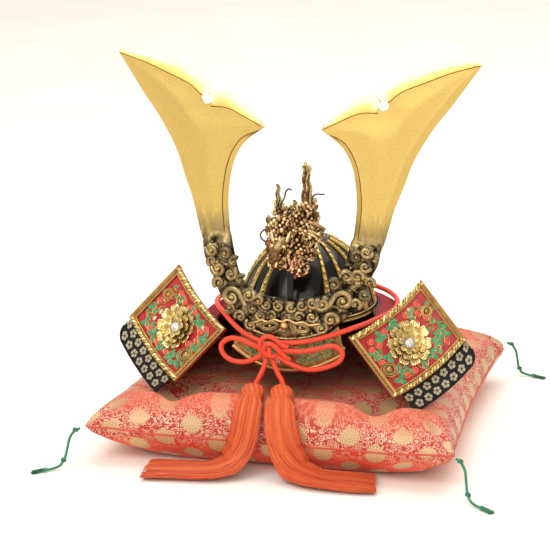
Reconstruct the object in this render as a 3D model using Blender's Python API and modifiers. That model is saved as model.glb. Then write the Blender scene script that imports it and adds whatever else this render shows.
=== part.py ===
"""A kabuto samurai helmet on a display cushion: the solids, in metres, +Z up, front at -Y."""
import math

import bmesh
import bpy
from mathutils import Vector

MM = 0.001
GAP = 0.3 * MM

# Cushion
CUSHION_WIDTH = 442 * MM
CUSHION_DEPTH = 448 * MM
CUSHION_CENTRE_Y = -10 * MM
CUSHION_SEAM_CORNER = 46 * MM
CUSHION_SEAM_SIDE = 34 * MM
CUSHION_CROWN_RISE = 82 * MM
CUSHION_SIDE_PULL = 0.075
CUSHION_FRONT_PULL = 0.12
CUSHION_REAR_PULL = 0.05
CUSHION_BELLY = 34 * MM
CUSHION_CELLS = 22
SEAT_HEIGHT = 66.5 * MM
PRESS_BLEND = 30 * MM
PRESS_MARGIN = 14 * MM
PRESS_UNDER_STRIP = 13 * MM
PRESS_PATCH = 30 * MM

# Cushion corner cords and tassels
CORNER_CORD_DIAMETER = 3.2 * MM
CORNER_TASSEL_LENGTH = 17 * MM
CORNER_TASSEL_RADIUS = 2.8 * MM

# Bowl
BOWL_HALF_WIDTH = 83 * MM
BOWL_HALF_DEPTH = 93 * MM
BOWL_CENTRE_Y = -10 * MM
BOWL_CENTRE_Z = 130 * MM
BOWL_HEIGHT = 105 * MM
BOWL_RIM_Z = 146 * MM
BOWL_WALL = 2.2 * MM
BOWL_SEGMENTS = 24
BOWL_LEVELS = 7
RIM_BAND_HEIGHT = 7 * MM
RIM_BAND_WALL = 2.0 * MM

# Ribs and crown
RIB_ANGLES = (32, 50, 72, 94, 116, 138, 160)
RIB_WIDTH = 5.0 * MM
RIB_HEIGHT = 2.6 * MM
RIB_FOOT_Z = 154 * MM
RIB_CLEAR = GAP + 0.12 * MM
CROWN_RADIUS = 17 * MM
CROWN_HEIGHT = 5 * MM

# Visor
VISOR_DROP = 46 * MM
VISOR_FRONT_Y = -129 * MM
VISOR_HALF_WIDTH = 67 * MM
VISOR_WALL = 2.0 * MM
VISOR_ROOT_Z = BOWL_RIM_Z - VISOR_WALL + 3 * GAP
VISOR_RIM_WIDTH = 6 * MM

# Neck guard
SKIRT_TOP_Z = 150 * MM
LAME_WALL = 1.6 * MM
SKIRT_FOOT_Z = SEAT_HEIGHT + LAME_WALL + GAP
SKIRT_SIDE_FOOT = 168 * MM
SKIRT_REAR_FOOT = 147 * MM
LAME_LAP = 0.06
LAME_STEP = 3.2 * MM
LAME_SPLIT = 0.78
LAME_SETBACK = 0.078
FOOT_SHARE = 0.4

# Turn-backs: a panel hinged outward at the front end of the neck guard
FOLD_TOP = (72 * MM, -125 * MM, 142 * MM)
FOLD_FOOT = (130 * MM, -144 * MM, 78 * MM)
PANEL_REACH = (74 * MM, 61 * MM, 58 * MM)
PANEL_WALL = 2.4 * MM
PANEL_BOW = 5 * MM
PANEL_FRAME_WIDTH = 8 * MM
PANEL_FRAME_HEIGHT = 3.6 * MM
PEONY_RADIUS = 27 * MM
PEONY_HEIGHT = 8 * MM
STRIP_SHOW = 26 * MM
STRIP_TUCK = 9 * MM
STRIP_START = 13 * MM
STRIP_WALL = 2.0 * MM

# Horns and the cast base that carries them
HORN_REACH = 216 * MM
HORN_FOOT_Z = 222 * MM
HORN_TOP_Z = 463 * MM
HORN_WALL = 4 * MM
HORN_HOLE_RADIUS = 6.5 * MM
HORN_SLIT = 1.2 * MM
CREST_PLANE_Y = -118.9 * MM
CREST_SWEEP = 0.081
CREST_LEAN = 0.0775
BASE_HALF_WIDTH = 106 * MM
BASE_FOOT_Z = 133 * MM
BASE_TOP_Z = 262 * MM
BASE_WALL = 6 * MM
BASE_BULGE = 8 * MM
BASE_BRACKET = (16 * MM, 10 * MM)
BASE_BRACKET_Z = 161 * MM

# Dragon crest
POST_WIDTH = 9 * MM
POST_DEPTH = 4 * MM
POST_TUCK = 8 * MM
POST_TOP_Z = 236 * MM
DRAGON_Y = -106 * MM
DRAGON_HEIGHT = 140 * MM
DRAGON_FOOT_Z = 203 * MM

# Chin cord and its tassels
CORD_DIAMETER = 6 * MM
CORD_SIDES_RESOLUTION = 2
KNOT_RADIUS = 10.8 * MM
KNOT_CENTRE = (-15 * MM, -145 * MM, 131 * MM)
TASSEL_SIDES = 16

# The horn's edge, run by run: share of its reach out, share of its rise up
HORN_TOP_EDGE = (
    (1.000, 0.992), (0.940, 1.000), (0.880, 0.998), (0.796, 0.987),
    (0.706, 0.970), (0.602, 0.932), (0.523, 0.885), (0.462, 0.828),
)
HORN_LOBE_EDGE = (
    (0.446, 0.828), (0.373, 0.822), (0.292, 0.784), (0.220, 0.732), (0.153, 0.662),
)
HORN_INNER_EDGE = (
    (0.153, 0.662), (0.250, 0.598), (0.306, 0.531), (0.338, 0.448),
    (0.354, 0.340), (0.354, 0.249), (0.340, 0.120), (0.330, 0.000),
)
HORN_OUTER_EDGE = (
    (0.450, 0.000), (0.507, 0.116), (0.556, 0.282), (0.602, 0.394),
    (0.657, 0.531), (0.750, 0.676), (0.852, 0.800), (1.000, 0.992),
)
HORN_HOLE = (0.486, 0.782)

# The cast base: outer and inner edge, as shares of its half width and of its height
BASE_OUTER_EDGE = (
    (0.00, 0.000), (0.15, 0.004), (0.37, 0.045), (0.59, 0.180), (0.75, 0.335),
    (0.82, 0.435), (0.91, 0.610), (0.975, 0.720), (1.00, 0.840), (1.02, 1.000),
)
BASE_INNER_EDGE = (
    (0.00, 0.395), (0.24, 0.410), (0.42, 0.455), (0.56, 0.575),
    (0.63, 0.750), (0.67, 0.900), (0.68, 1.000),
)

# The neck guard's profile: share of the way out, share of the way down
SKIRT_PROFILE = (
    (0.00, 0.00), (0.22, 0.07), (0.45, 0.20), (0.66, 0.40), (0.85, 0.68), (1.00, 1.00),
)

# Dragon: blobs as shares of its height: across, forward, up, and their half sizes
DRAGON_BLOBS = (
    ("chest", 0.04, 0.00, 0.30, 0.17, 0.12, 0.20),
    ("coil", 0.09, -0.04, 0.50, 0.14, 0.11, 0.14),
    ("head", -0.07, 0.08, 0.45, 0.14, 0.12, 0.13),
    ("snout", -0.10, 0.15, 0.29, 0.11, 0.10, 0.14),
    ("jaw", -0.09, 0.12, 0.14, 0.07, 0.07, 0.09),
    ("claw", 0.06, 0.08, 0.07, 0.09, 0.06, 0.07),
)
# Dragon spikes: across and up of foot and tip, and the two radii, as shares of its height
DRAGON_SPIKES = (
    (0.10, 0.54, 0.085, 0.995, 0.060, 0.012),
    (-0.135, 0.48, -0.130, 0.800, 0.042, 0.010),
    (0.10, 0.44, 0.280, 0.415, 0.030, 0.022),
)

# Cord routes: points chosen by hand along each cord, in millimetres
CHIN_LOOP_ROUTE = (
    (-25.2, -142, 136.4), (-37, -139, 139), (-52, -132, 144), (-66, -124, 152), (-79, -111, 159),
    (-91, -92, 161), (-100, -66, 158), (-107, -36, 154), (-109, -5, 151), (-103, 30, 150),
    (-86, 62, 150), (-57, 86, 151), (-20, 97, 152), (20, 97, 152), (57, 86, 151), (86, 62, 150),
    (103, 30, 150), (109, -5, 150), (106, -40, 151), (97, -75, 153), (88.1, -98.2, 152.9),
    (76, -116.2, 151.9), (58, -129, 147), (38, -138, 142), (18, -142, 138.5), (-4.8, -142, 136.4),
)
BOW_LEFT_ROUTE = (
    (-26.4, -146, 129.6), (-37, -147, 133), (-50, -146, 135), (-64, -143, 133), (-73, -141, 125),
    (-70, -142, 116), (-58, -145, 110), (-44, -147, 111), (-32, -148, 117), (-23.5, -148, 123.3),
)
BOW_RIGHT_ROUTE = (
    (-4.3, -147, 129.6), (8, -149, 129.5), (24, -149, 129), (44, -147, 130), (60, -144, 129),
    (68, -143, 122), (62, -145, 113), (46, -148, 105), (26, -150, 106), (8, -150, 114),
    (-6.8, -149, 123.5),
)
TAIL_LEFT_ROUTE = (
    (-18.5, -147.5, 119.8), (-20, -151.5, 111), (-22, -157, 104), (-24, -164, 98.5),
    (-25, -172, 95), (-25, -179.4, 92.6),
)
TAIL_RIGHT_ROUTE = (
    (-11.5, -147.5, 119.8), (-8, -151.5, 112), (-3, -158, 105), (3, -165, 99.5),
    (7, -173, 96), (8.9, -179.4, 93.6),
)
CORNER_FRONT_ROUTE = (
    (219, -236, 46), (225, -239, 43), (230, -242, 35), (232, -245, 24), (234, -249, 13),
    (238, -254, 5.5), (244, -260, 3.2), (251, -265, 2.4),
)
CORNER_REAR_ROUTE = (
    (219.6, 216, 46), (226, 219, 42), (231, 221, 33), (233, 222, 22), (235, 222, 12),
    (239, 221, 5.5), (246, 219, 3.2), (254, 217, 2.4),
)

# Chin-cord tassels: centre in millimetres, half width, half thickness, turn of the width in degrees
TASSEL_LEFT = (
    (-25, -180.0, 92.0, 4.0, 4.0, 0), (-25, -183.0, 91.0, 10.5, 7.5, 0),
    (-25, -191.0, 88.5, 12.0, 8.5, 0), (-25, -198.0, 84.5, 9.5, 7.0, 0),
    (-25, -204.0, 79.0, 12.5, 6.5, 0), (-26, -212.5, 66.0, 14.0, 6.0, 0),
    (-28, -218.5, 49.0, 16.0, 6.0, -6), (-33, -224.0, 31.0, 18.0, 6.0, -18),
    (-44, -230.0, 16.0, 20.0, 6.0, -38), (-64, -235.0, 8.5, 22.0, 5.6, -62),
    (-92, -238.0, 7.0, 24.0, 5.2, -78), (-120, -239.0, 6.0, 26.0, 4.6, -82),
    (-139, -240.0, 5.0, 27.0, 3.8, -84),
)
TASSEL_RIGHT = (
    (9, -180.0, 93.0, 4.0, 4.0, 0), (9, -183.0, 92.0, 10.5, 7.5, 0),
    (9, -191.0, 89.5, 12.0, 8.5, 0), (9, -198.0, 85.0, 9.5, 7.0, 0),
    (10, -204.0, 79.0, 12.5, 6.5, 0), (13, -212.5, 66.0, 14.0, 6.0, 0),
    (17, -218.5, 49.0, 16.0, 6.0, 6), (24, -224.0, 31.0, 18.0, 6.0, 18),
    (37, -229.0, 16.0, 20.0, 6.0, 38), (58, -232.0, 8.5, 22.0, 5.6, 66),
    (84, -232.0, 7.0, 24.0, 5.2, 86), (108, -229.0, 6.0, 26.0, 4.6, 98),
    (127, -225.0, 5.0, 27.0, 3.8, 102),
)


def clear_scene():
    for thing in list(bpy.data.objects):
        bpy.data.objects.remove(thing, do_unlink=True)


def linear(hex_colour):
    """An sRGB hex colour as linear red, green, blue and alpha."""
    out = []
    for i in (1, 3, 5):
        c = int(hex_colour[i : i + 2], 16) / 255
        out.append(c / 12.92 if c <= 0.04045 else ((c + 0.055) / 1.055) ** 2.4)
    return (*out, 1.0)


def finish(name, hex_colour, roughness, metallic=0.0):
    material = bpy.data.materials.new(name)
    material.use_nodes = True
    shader = material.node_tree.nodes["Principled BSDF"]
    shader.inputs["Base Color"].default_value = linear(hex_colour)
    shader.inputs["Roughness"].default_value = roughness
    shader.inputs["Metallic"].default_value = metallic
    material.diffuse_color = linear(hex_colour)
    return material


def add(name, bm, material, parts):
    """A bmesh as a named object in the helmet's collection."""
    mesh = bpy.data.meshes.new(name)
    bm.to_mesh(mesh)
    bm.free()
    thing = bpy.data.objects.new(name, mesh)
    mesh.materials.append(material)
    parts.objects.link(thing)
    return thing


def smooth(points, per_span):
    """Points on a smooth curve through the given ones, per_span to each stretch."""
    pts = [Vector(p) for p in points]
    ends = [2 * pts[0] - pts[1], *pts, 2 * pts[-1] - pts[-2]]
    out = []
    for i in range(1, len(ends) - 2):
        a, b, c, d = ends[i - 1 : i + 3]
        for k in range(per_span):
            t = k / per_span
            out.append(
                0.5 * (2 * b + (c - a) * t + (2 * a - 5 * b + 4 * c - d) * t * t
                       + (3 * b - a - 3 * c + d) * t ** 3)
            )
    out.append(pts[-1])
    return out


def smoothstep(low, high, value):
    t = min(1.0, max(0.0, (value - low) / (high - low)))
    return t * t * (3 - 2 * t)


def table_value(rows, share):
    """The second column of a two-column table, read at a share of the first."""
    for (a, va), (b, vb) in zip(rows, rows[1:]):
        if share <= b:
            return va + (vb - va) * (share - a) / (b - a)
    return rows[-1][1]


def sheet(name, rows, wall, material, parts, closed=False, offset=-1.0):
    """A sheet through rows of points, given a wall by Solidify."""
    bm = bmesh.new()
    grid = [[bm.verts.new(p) for p in row] for row in rows]
    for a, b in zip(grid, grid[1:]):
        span = len(a) if closed else len(a) - 1
        for j in range(span):
            k = (j + 1) % len(a)
            bm.faces.new((a[j], a[k], b[k], b[j]))
    thing = add(name, bm, material, parts)
    solid = thing.modifiers.new("wall", "SOLIDIFY")
    solid.thickness = wall
    solid.offset = offset
    solid.use_even_offset = True
    return thing


def loft_mesh(rings):
    """A closed bmesh through rings of equal count, with flat ends."""
    bm = bmesh.new()
    grid = [[bm.verts.new(p) for p in ring] for ring in rings]
    for a, b in zip(grid, grid[1:]):
        for j in range(len(a)):
            k = (j + 1) % len(a)
            bm.faces.new((a[j], a[k], b[k], b[j]))
    bm.faces.new(list(reversed(grid[0])))
    bm.faces.new(grid[-1])
    bmesh.ops.recalc_face_normals(bm, faces=bm.faces)
    return bm


def tube(name, route, diameter, material, parts, per_span=2):
    """A cord's tube along a smooth curve through its route, in millimetres."""
    points = smooth([Vector(p) * MM for p in route], per_span)
    curve = bpy.data.curves.new(name, "CURVE")
    curve.dimensions = "3D"
    curve.bevel_depth = diameter / 2
    curve.bevel_resolution = CORD_SIDES_RESOLUTION
    curve.use_fill_caps = True
    curve.render_resolution_u = 0
    spline = curve.splines.new("POLY")
    spline.points.add(len(points) - 1)
    for point, place in zip(spline.points, points):
        point.co = (*place, 1)
    curve.materials.append(material)
    thing = bpy.data.objects.new(name, curve)
    parts.objects.link(thing)
    return thing


def mirrored(points, side):
    return [(side * p[0], p[1], p[2]) for p in points]


def pressed(x, y, height):
    """The cushion's top, pressed flat under the neck guard and under the two turn-backs."""
    across = SKIRT_SIDE_FOOT + PRESS_MARGIN
    front = BOWL_CENTRE_Y - FOLD_FOOT[1] + STRIP_SHOW * FOOT_SHARE
    along = (front if y < BOWL_CENTRE_Y else SKIRT_REAR_FOOT) + PRESS_MARGIN
    reach = (abs(x / across) ** 4 + abs((y - BOWL_CENTRE_Y) / along) ** 4) ** 0.25
    free = smoothstep(1.0, 1.0 + PRESS_BLEND / along, reach)
    height = min(height, SEAT_HEIGHT) * (1 - free) + height * free
    out = min(1.0, max(0.0, (abs(x) - FOLD_FOOT[0]) / PANEL_REACH[0]))
    edge_y = FOLD_FOOT[1] + out * PANEL_REACH[1]
    low = FOLD_FOOT[2] + out * PANEL_REACH[2] - STRIP_SHOW - PRESS_UNDER_STRIP
    near = math.hypot(min(0.0, abs(x) - FOLD_FOOT[0]), y - edge_y)
    free = smoothstep(PRESS_PATCH, PRESS_PATCH + PRESS_BLEND, near)
    return min(height, low) * (1 - free) + height * free


def cushion(material, parts):
    """A crowned pillow with pulled-in sides, raised corners and a flat underside."""
    half_x, half_y = CUSHION_WIDTH / 2, CUSHION_DEPTH / 2
    steps = [math.sin(math.pi / 2 * (2 * i / CUSHION_CELLS - 1)) for i in range(CUSHION_CELLS + 1)]
    bm = bmesh.new()
    top, bottom = {}, {}
    for i, u in enumerate(steps):
        for j, v in enumerate(steps):
            pull = CUSHION_FRONT_PULL if v < 0 else CUSHION_REAR_PULL
            x = half_x * u * (1 - CUSHION_SIDE_PULL * (1 - v * v))
            y = CUSHION_CENTRE_Y + half_y * v * (1 - pull * (1 - u * u))
            seam = CUSHION_SEAM_SIDE + (CUSHION_SEAM_CORNER - CUSHION_SEAM_SIDE) * (u * v) ** 2
            edge = i in (0, CUSHION_CELLS) or j in (0, CUSHION_CELLS)
            if edge:
                top[i, j] = bottom[i, j] = bm.verts.new((x, y, seam))
                continue
            swell = (1 - abs(u) ** 2.2) ** 0.55 * (1 - abs(v) ** 3) ** 0.42
            top[i, j] = bm.verts.new((x, y, pressed(x, y, seam + CUSHION_CROWN_RISE * swell)))
            sink = min(1.0, 2.2 * (1 - u * u) ** 0.5 * (1 - v * v) ** 0.5)
            bottom[i, j] = bm.verts.new((x, y, seam * (1 - sink)))
    for i in range(CUSHION_CELLS):
        for j in range(CUSHION_CELLS):
            corners = ((i, j), (i + 1, j), (i + 1, j + 1), (i, j + 1))
            bm.faces.new([top[c] for c in corners])
            bm.faces.new([bottom[c] for c in reversed(corners)])
    return add("cushion", bm, material, parts)


def corner_cords(material, parts):
    """A limp cord with a small tassel at each corner of the cushion."""
    corners = (
        ("front_left", CORNER_FRONT_ROUTE, -1), ("front_right", CORNER_FRONT_ROUTE, 1),
        ("rear_left", CORNER_REAR_ROUTE, -1), ("rear_right", CORNER_REAR_ROUTE, 1),
    )
    for name, route, side in corners:
        line = mirrored(route, side)
        tube("corner_cord_" + name, line, CORNER_CORD_DIAMETER, material, parts)
        end, before = Vector(line[-1]) * MM, Vector(line[-2]) * MM
        along = (end - before).normalized()
        along.z = 0
        along.normalize()
        across = Vector((-along.y, along.x, 0))
        rings = []
        for share, size in ((0.0, 0.62), (0.12, 1.0), (0.28, 0.78), (0.65, 1.0), (1.0, 1.08)):
            centre = end + along * (2 * GAP + share * CORNER_TASSEL_LENGTH)
            centre.z = CORNER_TASSEL_RADIUS * 1.08 + GAP
            ring = []
            for k in range(10):
                turn = math.tau * k / 10
                spread = CORNER_TASSEL_RADIUS * size
                flare = 1 + 0.7 * share
                ring.append(centre + across * (spread * flare * math.cos(turn))
                            + Vector((0, 0, spread * math.sin(turn))))
            rings.append(ring)
        add("corner_tassel_" + name, loft_mesh(rings), material, parts)


def bowl_point(angle, z, lift=0.0):
    """A place on the bowl, angle in degrees from the front, lift along the way out."""
    flat = math.sqrt(max(0.0, 1 - ((z - BOWL_CENTRE_Z) / BOWL_HEIGHT) ** 2))
    turn = math.radians(angle)
    x = BOWL_HALF_WIDTH * flat * math.sin(turn)
    y = -BOWL_HALF_DEPTH * flat * math.cos(turn)
    out = Vector((x / BOWL_HALF_WIDTH ** 2, y / BOWL_HALF_DEPTH ** 2, (z - BOWL_CENTRE_Z) / BOWL_HEIGHT ** 2))
    return Vector((x, BOWL_CENTRE_Y + y, z)) + out.normalized() * lift


def bowl(material, parts):
    """A hollow bowl: half an ellipsoid's outline, turned by Screw and given a wall."""
    rise = math.asin((BOWL_RIM_Z - BOWL_CENTRE_Z) / BOWL_HEIGHT)
    bm = bmesh.new()
    line = []
    for i in range(BOWL_LEVELS + 1):
        turn = rise + (math.pi / 2 - rise) * i / BOWL_LEVELS
        across = 0.0 if i == BOWL_LEVELS else BOWL_HALF_WIDTH * math.cos(turn)
        line.append(bm.verts.new((across, 0, BOWL_HEIGHT * math.sin(turn))))
    for a, b in zip(line, line[1:]):
        bm.edges.new((a, b))
    thing = add("bowl", bm, material, parts)
    thing.location = (0, BOWL_CENTRE_Y, BOWL_CENTRE_Z)
    thing.scale = (1, BOWL_HALF_DEPTH / BOWL_HALF_WIDTH, 1)
    turn = thing.modifiers.new("turn", "SCREW")
    turn.steps = turn.render_steps = BOWL_SEGMENTS
    turn.use_merge_vertices = True
    turn.merge_threshold = 0.00001
    turn.use_normal_calculate = True
    wall = thing.modifiers.new("wall", "SOLIDIFY")
    wall.thickness = BOWL_WALL
    wall.offset = -1
    return thing


def rim_band(material, parts):
    """A plain band round the foot of the bowl."""
    rows = []
    for z in (BOWL_RIM_Z, BOWL_RIM_Z + RIM_BAND_HEIGHT):
        rows.append([bowl_point(360 * k / BOWL_SEGMENTS, z, GAP) for k in range(BOWL_SEGMENTS)])
    return sheet("rim_band", rows, RIM_BAND_WALL, material, parts, closed=True, offset=1.0)


def ribs(material, parts):
    """Gilt ribs from the crown plate down to the rim band."""
    top = BOWL_CENTRE_Z + BOWL_HEIGHT * math.sqrt(1 - (CROWN_RADIUS / BOWL_HALF_WIDTH) ** 2)
    levels = [RIB_FOOT_Z + (top - 3 * MM - RIB_FOOT_Z) * math.sin(math.pi / 2 * k / 6) for k in range(7)]
    for side, word in ((-1, "left"), (1, "right")):
        for number, angle in enumerate(RIB_ANGLES, 1):
            rings = []
            for z in levels:
                low = bowl_point(side * angle, z, RIB_CLEAR)
                high = bowl_point(side * angle, z, GAP + RIB_HEIGHT)
                across = (bowl_point(side * angle + 1, z) - bowl_point(side * angle - 1, z)).normalized()
                narrow = 0.45 + 0.55 * smoothstep(top, RIB_FOOT_Z, z)
                half = across * (RIB_WIDTH / 2 * narrow)
                rings.append((low - half, low + half, high + half * 0.6, high - half * 0.6))
            add(f"rib_{word}_{number}", loft_mesh(rings), material, parts)


def crown_plate(material, parts):
    """The round plate and boss on top of the bowl."""
    seat = BOWL_CENTRE_Z + BOWL_HEIGHT + GAP
    profile = ((1.0, 0.0), (1.0, 0.35), (0.72, 0.55), (0.66, 1.0), (0.3, 1.15), (0.0, 1.2))
    bm = bmesh.new()
    line = [bm.verts.new((0, 0, 0))]
    line += [bm.verts.new((CROWN_RADIUS * r, 0, CROWN_HEIGHT * h)) for r, h in profile]
    for a, b in zip(line, line[1:]):
        bm.edges.new((a, b))
    thing = add("crown_plate", bm, material, parts)
    thing.location = (0, BOWL_CENTRE_Y, seat)
    turn = thing.modifiers.new("turn", "SCREW")
    turn.steps = turn.render_steps = 20
    turn.use_merge_vertices = True
    turn.merge_threshold = 0.00001
    turn.use_normal_calculate = True
    return thing


def visor_point(across, down):
    """A place on the visor: across from -1 to 1, down from its root to its rim."""
    root = bowl_point(across * 52, BOWL_RIM_Z, GAP + RIM_BAND_WALL + GAP)
    root.z = VISOR_ROOT_Z
    bend = across * across
    front = Vector((
        across * VISOR_HALF_WIDTH,
        VISOR_FRONT_Y + 12 * MM * bend,
        VISOR_ROOT_Z - VISOR_DROP + 22 * MM * bend,
    ))
    belly = Vector((0, -1, 1)) * (7 * MM * math.sin(math.pi * down) * (1 - bend))
    return root.lerp(front, down) + belly


def visor(material, rim_material, parts):
    """The visor's sheet, and the rolled rim along its front edge."""
    count = 16
    across = [2 * k / count - 1 for k in range(count + 1)]
    rows = [[visor_point(a, down) for a in across] for down in (0.0, 0.25, 0.5, 0.75, 0.94)]
    sheet("visor", rows, VISOR_WALL, material, parts)
    rings = []
    for a in across:
        edge, before = visor_point(a, 1.0), visor_point(a, 0.94)
        down = (edge - before).normalized()
        side = (visor_point(min(1, a + 0.05), 1.0) - visor_point(max(-1, a - 0.05), 1.0)).normalized()
        up = side.cross(down).normalized()
        start = before + down * (3 * GAP)
        half = VISOR_WALL * 0.9
        rings.append((start - up * half, start + down * VISOR_RIM_WIDTH - up * half,
                      start + down * VISOR_RIM_WIDTH + up * half, start + up * half))
    add("visor_rim", loft_mesh(rings), rim_material, parts)


def rim_reach(angle):
    """How far out the neck guard's top edge lies, clear of the rim band."""
    rim = bowl_point(math.degrees(angle), BOWL_RIM_Z)
    return math.hypot(rim.x, rim.y - BOWL_CENTRE_Y) + RIM_BAND_WALL + LAME_WALL - GAP


def skirt_point(turn, down, inset=0.0):
    """A place on the neck guard: turn 0 at the fold, 1 at the rear; down 0 at the top, 1 at the foot."""
    top, foot = Vector(FOLD_TOP), Vector(FOLD_FOOT)
    foot += (foot - top).normalized() * STRIP_SHOW * FOOT_SHARE
    edge = top.lerp(foot, down)
    edge_angle = math.atan2(edge.x, BOWL_CENTRE_Y - edge.y)
    edge_reach = math.hypot(edge.x, edge.y - BOWL_CENTRE_Y)
    settle = smoothstep(0.0, 0.34, turn)
    rear = smoothstep(0.45, 1.0, turn)
    outer = SKIRT_SIDE_FOOT + (SKIRT_REAR_FOOT - SKIRT_SIDE_FOOT) * rear
    settled_z = SKIRT_TOP_Z + (SKIRT_FOOT_Z - SKIRT_TOP_Z) * table_value(SKIRT_PROFILE, table_out(down))
    angle = edge_angle + (math.pi - edge_angle) * turn
    inner = rim_reach(angle)
    settled_reach = inner + (outer - inner) * table_out(down)
    reach = edge_reach + (settled_reach - edge_reach) * settle - inset
    z = edge.z + (settled_z - edge.z) * settle - inset * 0.6
    return Vector((reach * math.sin(angle), BOWL_CENTRE_Y - reach * math.cos(angle), z))


def table_out(down):
    """Share of the way out for a share of the way along the neck guard's profile."""
    return math.sin(math.pi / 2 * down) ** 1.15


def lames(material, parts):
    """Two laced plates of the neck guard, the lower one tucked under the upper."""
    spans = (
        ("lame_upper", 0.0, LAME_SPLIT, 0.0, LAME_SETBACK / 2),
        ("lame_lower", LAME_SPLIT - LAME_LAP, 1.0, LAME_STEP, LAME_SETBACK),
    )
    for name, start, stop, inset, setback in spans:
        half_turn = [max(setback, k / 11) for k in range(12)]
        rows = []
        for k in range(4):
            down = start + (stop - start) * k / 3
            left = [skirt_point(t, down, inset * (1 - k / 3)) for t in half_turn]
            right = [Vector((-p.x, p.y, p.z)) for p in left[-2::-1]]
            rows.append(left + right)
        sheet(name, rows, LAME_WALL, material, parts, offset=1.0)


def panel_axes(side):
    """Corner, reach, fold direction and outward normal of one turn-back."""
    top, foot = Vector(FOLD_TOP), Vector(FOLD_FOOT)
    reach, fold = Vector(PANEL_REACH), foot - top
    normal = fold.cross(reach).normalized()
    if normal.y > 0:
        normal = -normal
    return [Vector((side * p.x, p.y, p.z)) for p in (top, reach, fold, normal)]


def panel_point(side, out, down, lift=0.0):
    """A place on a turn-back: out from the fold, down from its top edge, lift off its face."""
    corner, reach, fold, normal = panel_axes(side)
    bow = PANEL_BOW * (1 - (2 * out - 1) ** 2)
    clear = reach.normalized() * (2 * MM)
    return corner + clear + reach * out + fold * down + normal * (lift - bow)


def turn_backs(materials, parts):
    """Each side's panel, its raised frame, its peony and the dark strip below it."""
    lacquer, frame_gilt, peony_gilt, strip_black = materials
    fold_length = (Vector(FOLD_FOOT) - Vector(FOLD_TOP)).length
    reach_length = Vector(PANEL_REACH).length
    for side, word in ((-1, "left"), (1, "right")):
        outs = [k / 6 for k in range(7)]
        rows = [[panel_point(side, o, d) for o in outs] for d in (0.0, 0.5, 1.0)]
        sheet("turnback_panel_" + word, rows, PANEL_WALL, lacquer, parts, offset=side * 1.0)
        frame(word, side, frame_gilt, parts, fold_length, reach_length)
        peony(word, side, peony_gilt, parts)
        tuck, show = STRIP_TUCK / fold_length, STRIP_SHOW / fold_length
        drop = -(PANEL_WALL + 2 * GAP)
        start = STRIP_START / reach_length
        along = [start + (1 - start) * o for o in outs]
        rows = [[panel_point(side, o, d, drop) for o in along] for d in (1 - tuck, 1 + show)]
        sheet("turnback_strip_" + word, rows, STRIP_WALL, strip_black, parts, offset=side * 1.0)


def frame(word, side, material, parts, fold_length, reach_length):
    """A raised border round a turn-back, one closed ring of four bars."""
    wide, high = PANEL_FRAME_WIDTH, PANEL_FRAME_HEIGHT
    path = [(k / 6, 0.0) for k in range(6)] + [(1.0, 0.0), (1.0, 0.5), (1.0, 1.0)]
    path += [(1 - k / 6, 1.0) for k in range(1, 6)] + [(0.0, 1.0), (0.0, 0.5)]
    bm = bmesh.new()
    rings = []
    for out, down in path:
        in_out = out + (wide / reach_length) * (1 if out == 0 else -1 if out == 1 else 0)
        in_down = down + (wide / fold_length) * (1 if down == 0 else -1 if down == 1 else 0)
        if out not in (0.0, 1.0):
            in_out = out
        if down not in (0.0, 1.0):
            in_down = down
        corners = ((out, down, GAP), (in_out, in_down, GAP), (in_out, in_down, high), (out, down, high))
        rings.append([bm.verts.new(panel_point(side, *c)) for c in corners])
    for i, ring in enumerate(rings):
        after = rings[(i + 1) % len(rings)]
        for j in range(4):
            k = (j + 1) % 4
            bm.faces.new((ring[j], ring[k], after[k], after[j]))
    bmesh.ops.recalc_face_normals(bm, faces=bm.faces)
    add("turnback_frame_" + word, bm, material, parts)


def peony(word, side, material, parts):
    """A raised round flower with scalloped edge on a turn-back."""
    reach_length, fold_length = Vector(PANEL_REACH).length, (Vector(FOLD_FOOT) - Vector(FOLD_TOP)).length
    rings = []
    for share, lift in ((1.0, 0.06), (0.86, 0.45), (0.55, 0.6), (0.34, 1.0), (0.12, 0.9)):
        ring = []
        for k in range(24):
            turn = math.tau * k / 24
            spread = PEONY_RADIUS * share * (1 + 0.10 * math.cos(8 * turn) * share)
            out = 0.5 + spread * math.cos(turn) / reach_length
            down = 0.5 + spread * math.sin(turn) / fold_length
            ring.append(panel_point(side, out, down, GAP + PEONY_HEIGHT * lift))
        rings.append(ring)
    add("peony_" + word, loft_mesh(rings), material, parts)


def crest_y(x, z):
    """The plane of the horns and the cast base, swept and leaned back a little."""
    return CREST_PLANE_Y + CREST_SWEEP * abs(x) + CREST_LEAN * (z - BASE_FOOT_Z)


def flat_solid(name, outline, wall, material, parts, lift):
    """A flat outline, given as across and height, made a plate that lies along the crest's plane."""
    bm = bmesh.new()
    verts = [bm.verts.new((x, crest_y(x, z) + lift(x), z)) for x, z in outline]
    face = bm.faces.new(verts)
    face.normal_update()
    if face.normal.y > 0:
        face.normal_flip()
    bmesh.ops.triangulate(bm, faces=[face])
    thing = add(name, bm, material, parts)
    solid = thing.modifiers.new("wall", "SOLIDIFY")
    solid.thickness = wall
    solid.offset = -1
    return thing


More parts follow.
